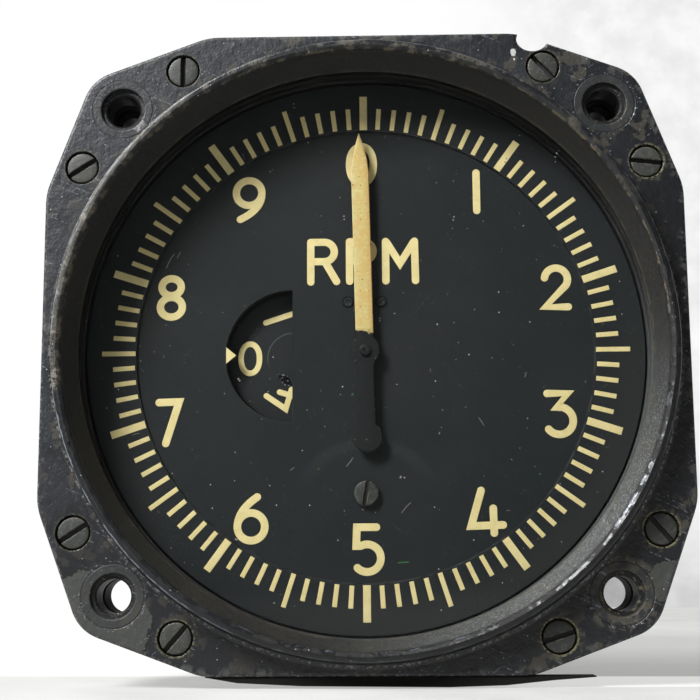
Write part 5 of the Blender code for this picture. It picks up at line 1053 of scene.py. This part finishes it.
def disc_face():
    paint = dial_paint("disc_paint", seed=0.55)
    around = paint.distance(WINDOW_X, WINDOW_UP)
    # Painted highlight: a faint light arc round the hub, painted only on its upper left.
    upper_left = (paint.x * -1 + WINDOW_X).rise(-0.8, 1.0) * (paint.up - WINDOW_UP).rise(-1.6, 0.6)
    paint.layer(around.band(3.38, 3.46, 0.05) * upper_left * 0.8, (86, 90, 91), 0.4)
    # A dark ragged chip near the hub, with painted glints in it.
    along = (paint.x + 10.65) * 0.77 - (paint.up + 3.4) * 0.64
    across = (paint.up + 3.4) * 0.77 + (paint.x + 10.65) * 0.64
    ragged = (paint.noise(0.6, detail=4) - 0.5) * 2.2
    chip = (along * along * 0.6 + across * across * 3.2).sum_of("SQRT") + ragged
    paint.layer(chip.rise(1.0, 0.85), (4, 4, 5), 0.3)
    glints = paint.noise(0.28, detail=4, seed=0.2).rise(0.58, 0.64)
    paint.layer(chip.rise(1.25, 0.9) * glints, (150, 156, 158), 0.3, 0.4).done()


def cream():
    paint = Finish("lume_paint", (224, 209, 147), 0.62, specular=0.3)
    paint.layer(paint.noise(1.6, detail=4).rise(0.35, 0.7), (232, 218, 158), 0.6)
    pits = paint.noise(0.35, seed=0.2).rise(0.6, 0.72) * 0.5
    paint.layer(pits, (205, 188, 124), 0.7, height=-0.02)
    paint.layer(paint.facing().rise(0.9, 0.4) * 0.5, (176, 160, 100), 0.7)
    paint.layer(paint.specks(1.1, 0.07, 0.08, seed=0.7), (120, 98, 58), 0.7).done()


dial_face()
disc_face()
cream()
print("dial finishes:", *finishes)

# %% [markdown]
# The pointer is cream along its blade and black at hub and tail, and the cream ends in a ragged line just
# above the hub. One finish does both: the height along the blade, plus a little noise, decides which
# paint is there, and the step between them stands up as thick paint does.

# %% The pointer's two paints
def pointer_finish():
    paint = Finish("pointer_paint", (24, 27, 28), 0.5, specular=0.2)
    layer, noise = paint.layer, paint.noise
    c, s = math.cos(math.radians(POINTER_TURN)), math.sin(math.radians(POINTER_TURN))
    along, across = paint.up * c - paint.x * s, paint.x * c + paint.up * s
    ragged = noise(0.45, detail=4, rough=0.6, seed=0.3)
    blade = (along + (ragged - 0.5) * 0.9 + across * 0.18).rise(2.4, 2.5)
    layer(noise(0.6).rise(0.55, 0.7) * 0.5, (44, 45, 45), 0.5, height=0.004)
    layer(paint.facing().rise(0.95, 0.5) * ragged.rise(0.5, 0.62) * 0.7, (70, 70, 68), 0.4, 0.3)
    layer(blade, (206, 188, 122), 0.6, height=0.05)
    layer(blade * across.rise(-0.5, -1.0) * 0.7, (206, 198, 146), 0.55)
    layer(blade * across.rise(0.35, 1.05) * 0.6, (196, 152, 84), 0.6)
    layer(blade * noise(1.8, detail=4, seed=0.6).rise(0.45, 0.65) * 0.6, (206, 170, 102), 0.6)
    layer(blade * ragged.rise(0.52, 0.68) * 0.5, (222, 210, 156), 0.6)
    layer(blade * paint.specks(1.2, 0.11, 0.4, True, 0.1), (146, 96, 52), 0.7)
    layer(blade * paint.specks(0.7, 0.12, 0.4, True, 0.5), (160, 132, 78), 0.7)
    layer(blade * along.rise(3.0, 2.6) * ragged.rise(0.4, 0.55) * 0.8, (150, 142, 96), 0.7)
    layer((1 - blade) * paint.specks(1.3, 0.07, 0.3, True, 0.8), (124, 126, 122), 0.6)
    # Painted shade: the pit in the middle of the boss is painted black.
    layer(paint.distance().rise(0.13, 0.06), (4, 4, 4), 0.6).done()


pointer_finish()
print("pointer finish nodes:", len(finishes["pointer_paint"].node_tree.nodes))

# %% [markdown]
# The glass has to let the light through without loss or bend, or the dial would go dark and its shadows
# would vanish. A thin sheet is therefore drawn as a clear surface with a mirror laid over it, as strong as
# Fresnel's law asks, and with a few grains of dust that stand on it.

# %% The window glass
def window_glass():
    pane = Finish("window_glass", (150, 150, 144), 0.9)
    material, tree = pane.done(), pane.tree
    grains = pane.specks(2.6, 0.03, 0.14, True) * 0.55 + pane.specks(7.0, 0.02, 0.3, True, 0.3) * 0.7 + 0.002
    clear = grown(tree, "BsdfTransparent")
    mirror = grown(tree, "BsdfGlossy", {"Roughness": 0.03, "Color": (1, 1, 1, 1)})
    fresnel = grown(tree, "Fresnel", {"IOR": 1.14})
    clean = grown(tree, "MixShader", {0: fresnel, 1: clear, 2: mirror})
    dusty = grown(tree, "MixShader", {0: grains, 1: clean, 2: pane.shader.outputs[0]})
    feed(tree.nodes["Material Output"].inputs["Surface"], dusty)
    return [node.bl_idname for node in tree.nodes if "Bsdf" in node.bl_idname]


print("glass:", window_glass())

# %% [markdown]
# Everything behind the panel is cleaner than the front. The case has an orange-peel enamel with chips at
# its edges, steel parts are browned black, and the turned parts show fine rings from the tool. One
# helper adds what all of them share: a cloudy tone, bright wear where the surface turns over an edge, and
# a grain in the height.

# %% Plain finishes for metal, rubber and paint
def plain(name, colour, rough, metal, worn, cloudy, grain=(0.4, 0.006), specular=0.5):
    paint = Finish(name, colour, rough, metal, specular)
    front = paint.facing()
    edge = front.rise(0.12, 0.4) * front.rise(0.985, 0.85)
    flakes = paint.noise(0.8, rough=0.65, seed=0.08)
    paint.layer(paint.noise(5).rise(0.35, 0.7), cloudy, rough + 0.08)
    paint.layer(paint.noise(1.3, seed=0.2).rise(0.55, 0.72) * 0.5, cloudy, rough + 0.14)
    paint.layer(edge * flakes.rise(0.46, 0.62), worn, max(rough - 0.05, 0.2), max(metal, 0.4))
    return paint.layer(paint.noise(grain[0], seed=0.4), height=grain[1])


def wave(along, pitch):
    """A sine wave between -1 and 1, one swing in each pitch; rings where it runs along a radius."""
    return (along * (math.tau / pitch)).sum_of("SINE")


# A light grey painted on as light where the lamp falls into the mouth of the case, at the lower right.
PAINTED_LIGHT_GREY = (88, 91, 91)
paint = plain("case_paint", (40, 40, 42), 0.42, 0.0, (120, 118, 112), (50, 50, 50), (0.9, 0.02))
paint.layer(paint.specks(3.0, 0.07, 0.15), (110, 104, 92), 0.5, 0.3, -0.02)
paint.layer(paint.scratches(0.3, 0.72, turn=15), (96, 96, 94), 0.45)
# Painted shade: the mounting holes are painted black inside.
paint.layer(nearest(paint, HOLES).rise(2.6, 2.4), (14, 14, 14), 0.7)
# Painted light: the can's wall just behind the dial is painted grey towards the lower right.
mouth = paint.distance().rise(37.9, 37.7) * paint.depth.rise(8.0, 7.0)
paint.layer(mouth * (paint.x - paint.up).rise(20, 50), PAINTED_LIGHT_GREY, 0.7).done()

paint = plain("black_steel", (44, 47, 45), 0.46, 0.1, (112, 110, 98), (54, 55, 51), (0.35, 0.02))
bare = paint.noise(0.4, detail=4, rough=0.65, seed=0.6).rise(0.52, 0.62)
paint.layer(bare * 0.6, (78, 80, 74), 0.5, 0.2)
grime = nearest(paint, SCREWS).rise(1.6, 2.05) * paint.noise(0.7, seed=0.2).rise(0.42, 0.56)
paint.layer(grime * paint.depth.rise(2.0, 1.0) * 0.8, (58, 54, 42), 0.75)
paint.layer(paint.specks(0.9, 0.12, 0.2), (118, 92, 62), 0.7)
# Painted shade: the floors of the screws' slots are painted black.
slot_floor = paint.depth.band(0.84, 1.2, 0.05).most(paint.depth.band(6.12, 6.3, 0.03))
paint.layer(slot_floor, (8, 8, 8), 0.6, 0.0).done()

paint = plain("seal_rubber", (26, 26, 26), 0.78, 0.0, (44, 44, 43), (36, 36, 35), (0.5, 0.015), 0.3)
# Painted light: the seal's face inside the glass is painted grey towards the lower right.
paint.layer(paint.distance().rise(38.9, 38.6) * (paint.x - paint.up).rise(20, 50), PAINTED_LIGHT_GREY, 0.7).done()

for name, colour, rough, worn, cloudy, pitch in (
        ("brass", (196, 164, 92), 0.3, (226, 200, 130), (170, 138, 74), 0.35),
        ("steel", (158, 160, 162), 0.28, (206, 208, 208), (128, 128, 126), 0.3),
        ("aluminium", (176, 178, 178), 0.38, (214, 216, 216), (152, 154, 154), 0.45),
        ("silvered_contact", (186, 182, 168), 0.26, (220, 218, 206), (150, 138, 110), 0.2)):
    paint = plain(name, colour, rough, 1.0, worn, cloudy)
    paint.layer((wave(paint.distance(), pitch) * 0.5 + 0.5) * 0.35, worn, height=0.003)
    if name == "brass":
        paint.layer(paint.depth.band(10.96, 11.04, 0.02), (16, 16, 16), 0.7, 0.0)    # behind the window
    paint.done()

plain("spring_bronze", (178, 128, 74), 0.3, 1.0, (214, 168, 110), (146, 98, 54), (0.3, 0.002)).done()
paint = plain("magnet_alloy", (112, 112, 112), 0.5, 0.8, (156, 156, 154), (90, 88, 84), (0.8, 0.03))
paint.layer(paint.specks(1.6, 0.2, 0.35), (58, 56, 52), 0.7, 0.4, -0.06).done()
paint = plain("laminations", (112, 112, 114), 0.42, 0.8, (160, 160, 160), (92, 84, 74), (0.3, 0.004))
paint.layer(wave(paint.depth, 0.5).rise(0.55, 0.9), (40, 38, 36), 0.7, 0.2, -0.03).done()
paint = plain("copper_wire", (150, 70, 34), 0.34, 0.5, (196, 112, 66), (112, 46, 24), (0.4, 0.003))
paint.layer(wave(paint.depth, 0.6) * 0.5 + 0.5, (110, 44, 22), height=0.05).done()
paint = plain("insulator", (62, 46, 34), 0.46, 0.0, (92, 74, 56), (72, 56, 42), (0.5, 0.01))
paint.layer(paint.specks(0.7, 0.12, 0.3), (96, 78, 60), 0.6).done()
print(len(finishes), "finishes:", ", ".join(sorted(finishes)))

# %% [markdown]
# Each piece knows its slot and takes the finish of that name; only the pointer has its own. The pieces of
# the CAD model that stay as they are, wheels, arbors and motor, take theirs by the name of their slot too.

# %% Finishes onto pieces
def worn_by(piece, finish):
    """One material on the whole piece."""
    piece.data.materials.clear()
    piece.data.materials.append(finish)


for piece in made:
    worn_by(piece, finishes["pointer_paint" if piece == hand else piece["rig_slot"]])
carried = [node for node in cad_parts.values() if not node.hide_render]
for node in carried:
    worn_by(node, finishes[node.data.materials[0].name])
print(len(made), "made pieces,", len(carried), "carried nodes")

# %% [markdown]
# The picture's surroundings are plain: a pale table top that takes the shadow, and a white wall behind it
# that shows itself to the camera, to mirrors and through glass, but lights nothing. One round lamp from
# the upper left gives the soft shadow of the ring on the dial, and an even white sky fills the rest. The
# wall and the far table are painted greyer at the right as a painted shadow of the instrument, a dark pad
# under the flange is a painted contact shadow, and the near table is painted lighter where the real shadow
# falls.

# %% Table, wall and light
TABLE_UP, WALL_AT, WIDE = -42.7, 450, 2000


def quad(name, corners, material):
    mesh = bpy.data.meshes.new(name)
    mesh.from_pydata(corners, [], [(0, 1, 2, 3)])
    mesh.materials.append(material)
    return put(name, mesh)


def shown_only(finish, colour, level):
    """Adds light that only the camera, mirrors and glass see, so that it brightens nothing else."""
    path = finish.tree.nodes.new("ShaderNodeLightPath")
    seen = Reading(path.outputs["Is Camera Ray"])
    for kind in ("Is Glossy Ray", "Is Transmission Ray"):
        seen = seen.most(Reading(path.outputs[kind]))
    feed(finish.shader.inputs["Emission Color"], colour)
    feed(finish.shader.inputs["Emission Strength"], seen * level)
    return finish.done()


top = Finish("table", (150, 150, 149), 0.6, specular=0.2)
top.layer(top.noise(14, rough=0.6, stretch=(1.6, 2, 1)).rise(0.35, 0.7), (132, 132, 131), 0.6)
# How bright the table is seen: a near strip, then one level at the left and another at the right. The right
# level is lower as a painted shadow of the instrument, and the near strip is painted lighter at the right,
# over the real shadow, as painted light.
aside, beyond = top.x.rise(-20, 25), top.depth + top.x * 0.067
near = 0.45 - aside * 0.055 + top.x.rise(2, 22) * top.depth.rise(0.5, 1.4) * 0.22
far_left = 0.66 + beyond.rise(100, 450) * 0.1
far_right_painted_shadow = 0.33 + beyond.rise(30, 110) * 0.17
far_right_painted_shadow = far_right_painted_shadow - beyond.rise(150, 260) * 0.08 + beyond.rise(270, 450) * 0.06
level = near + beyond.rise(21.4, 21.9) * (far_left + aside * (far_right_painted_shadow - far_left) - near)
table = [placed(x, TABLE_UP, depth) for x, depth in
         ((-WIDE, -1150), (WIDE, -1150), (WIDE, WALL_AT), (-WIDE, WALL_AT))]
floor = quad("floor", table, shown_only(top, (1, 1, 0.985, 1), level))
plaster = Finish("plaster", (6, 6, 6), 0.9, specular=0.0)
mottled = plaster.noise(16, rough=0.6).rise(0.2, 0.75) * 0.16
# Painted shadow: the wall is greyer at the lower right and darker round one spot beside the flange.
wall_level_painted_shadow = 1.0 - plaster.x.rise(20, 110) * (mottled + plaster.up.rise(0, -46) * 0.21 + 0.02)
wall_level_painted_shadow = wall_level_painted_shadow - plaster.distance(104, -36).rise(17, 9) * 0.3
back_wall = [placed(x, up, WALL_AT) for x, up in ((-WIDE, -60), (WIDE, -60), (WIDE, 1500), (-WIDE, 1500))]
wall = quad("wall", back_wall, shown_only(plaster, (1, 1, 1, 1), wall_level_painted_shadow))
# Painted shadow: a dark pad under the front of the flange stands for its contact shadow.
shade = [(-20, -41.32), (-16, -42.0), (-8, -42.4), (10, -42.6), (17, -42.4), (23, -41.8),
         (28, -41.45), (28, -41.32)]
shim = slab("shim", shade, [(0, 0.4), (0, 3.4)])
worn_by(shim, Finish("shim", (24, 24, 22), 0.8, specular=0.1).done())
world = bpy.data.worlds.new("studio")
world.use_nodes = True
sky = world.node_tree.nodes["Background"].inputs
feed(sky["Color"], (1, 1, 1, 1))
feed(sky["Strength"], 0.16)
bpy.context.scene.world = world
LAMP_WIDE, LAMP_WATTS, LAMP_AWAY = 0.3, 10.2, 0.7
lamp_data = bpy.data.lights.new("key", "AREA")
lamp_data.shape, lamp_data.size, lamp_data.energy = "DISK", LAMP_WIDE, LAMP_WATTS
lamp = put("key", lamp_data)
aim = Vector((-0.94, -0.97, 1.15)).normalized()
lamp.location = Vector((0, -0.045, 0.0413)) + aim * LAMP_AWAY
lamp.rotation_euler = aim.to_track_quat("Z", "Y").to_euler()
print("stage:", floor.name, wall.name, shim.name)

# %% [markdown]
# The camera was solved from the photograph: the four hole centres, eight screws, the dial's marks and
# the ring fix where it stood, two hands' breadths in front and looking up a little, and how strong its
# lens was.

# %% The camera
camera_data = bpy.data.cameras.new("camera")
SENSOR, FOCAL, PICTURE = 36.0, 1389.55, 700      # millimetres, then two lengths in pixels
camera_data.sensor_width, camera_data.sensor_fit = SENSOR, "HORIZONTAL"
camera_data.lens = SENSOR * FOCAL / PICTURE
camera_data.clip_start = 0.01
camera = put("camera", camera_data)
right = Vector((0.99975, 0.02164, -0.00605))
raised = Vector((0.00948, -0.16198, 0.98675))
back = Vector((0.02037, -0.98656, -0.16215))
turn = Matrix((right, raised, back)).transposed().to_4x4()
camera.matrix_world = Matrix.Translation((0.0017375, -0.223966, 0.011902)) @ turn
bpy.context.scene.camera = camera
bpy.context.scene.view_settings.view_transform = "Standard"
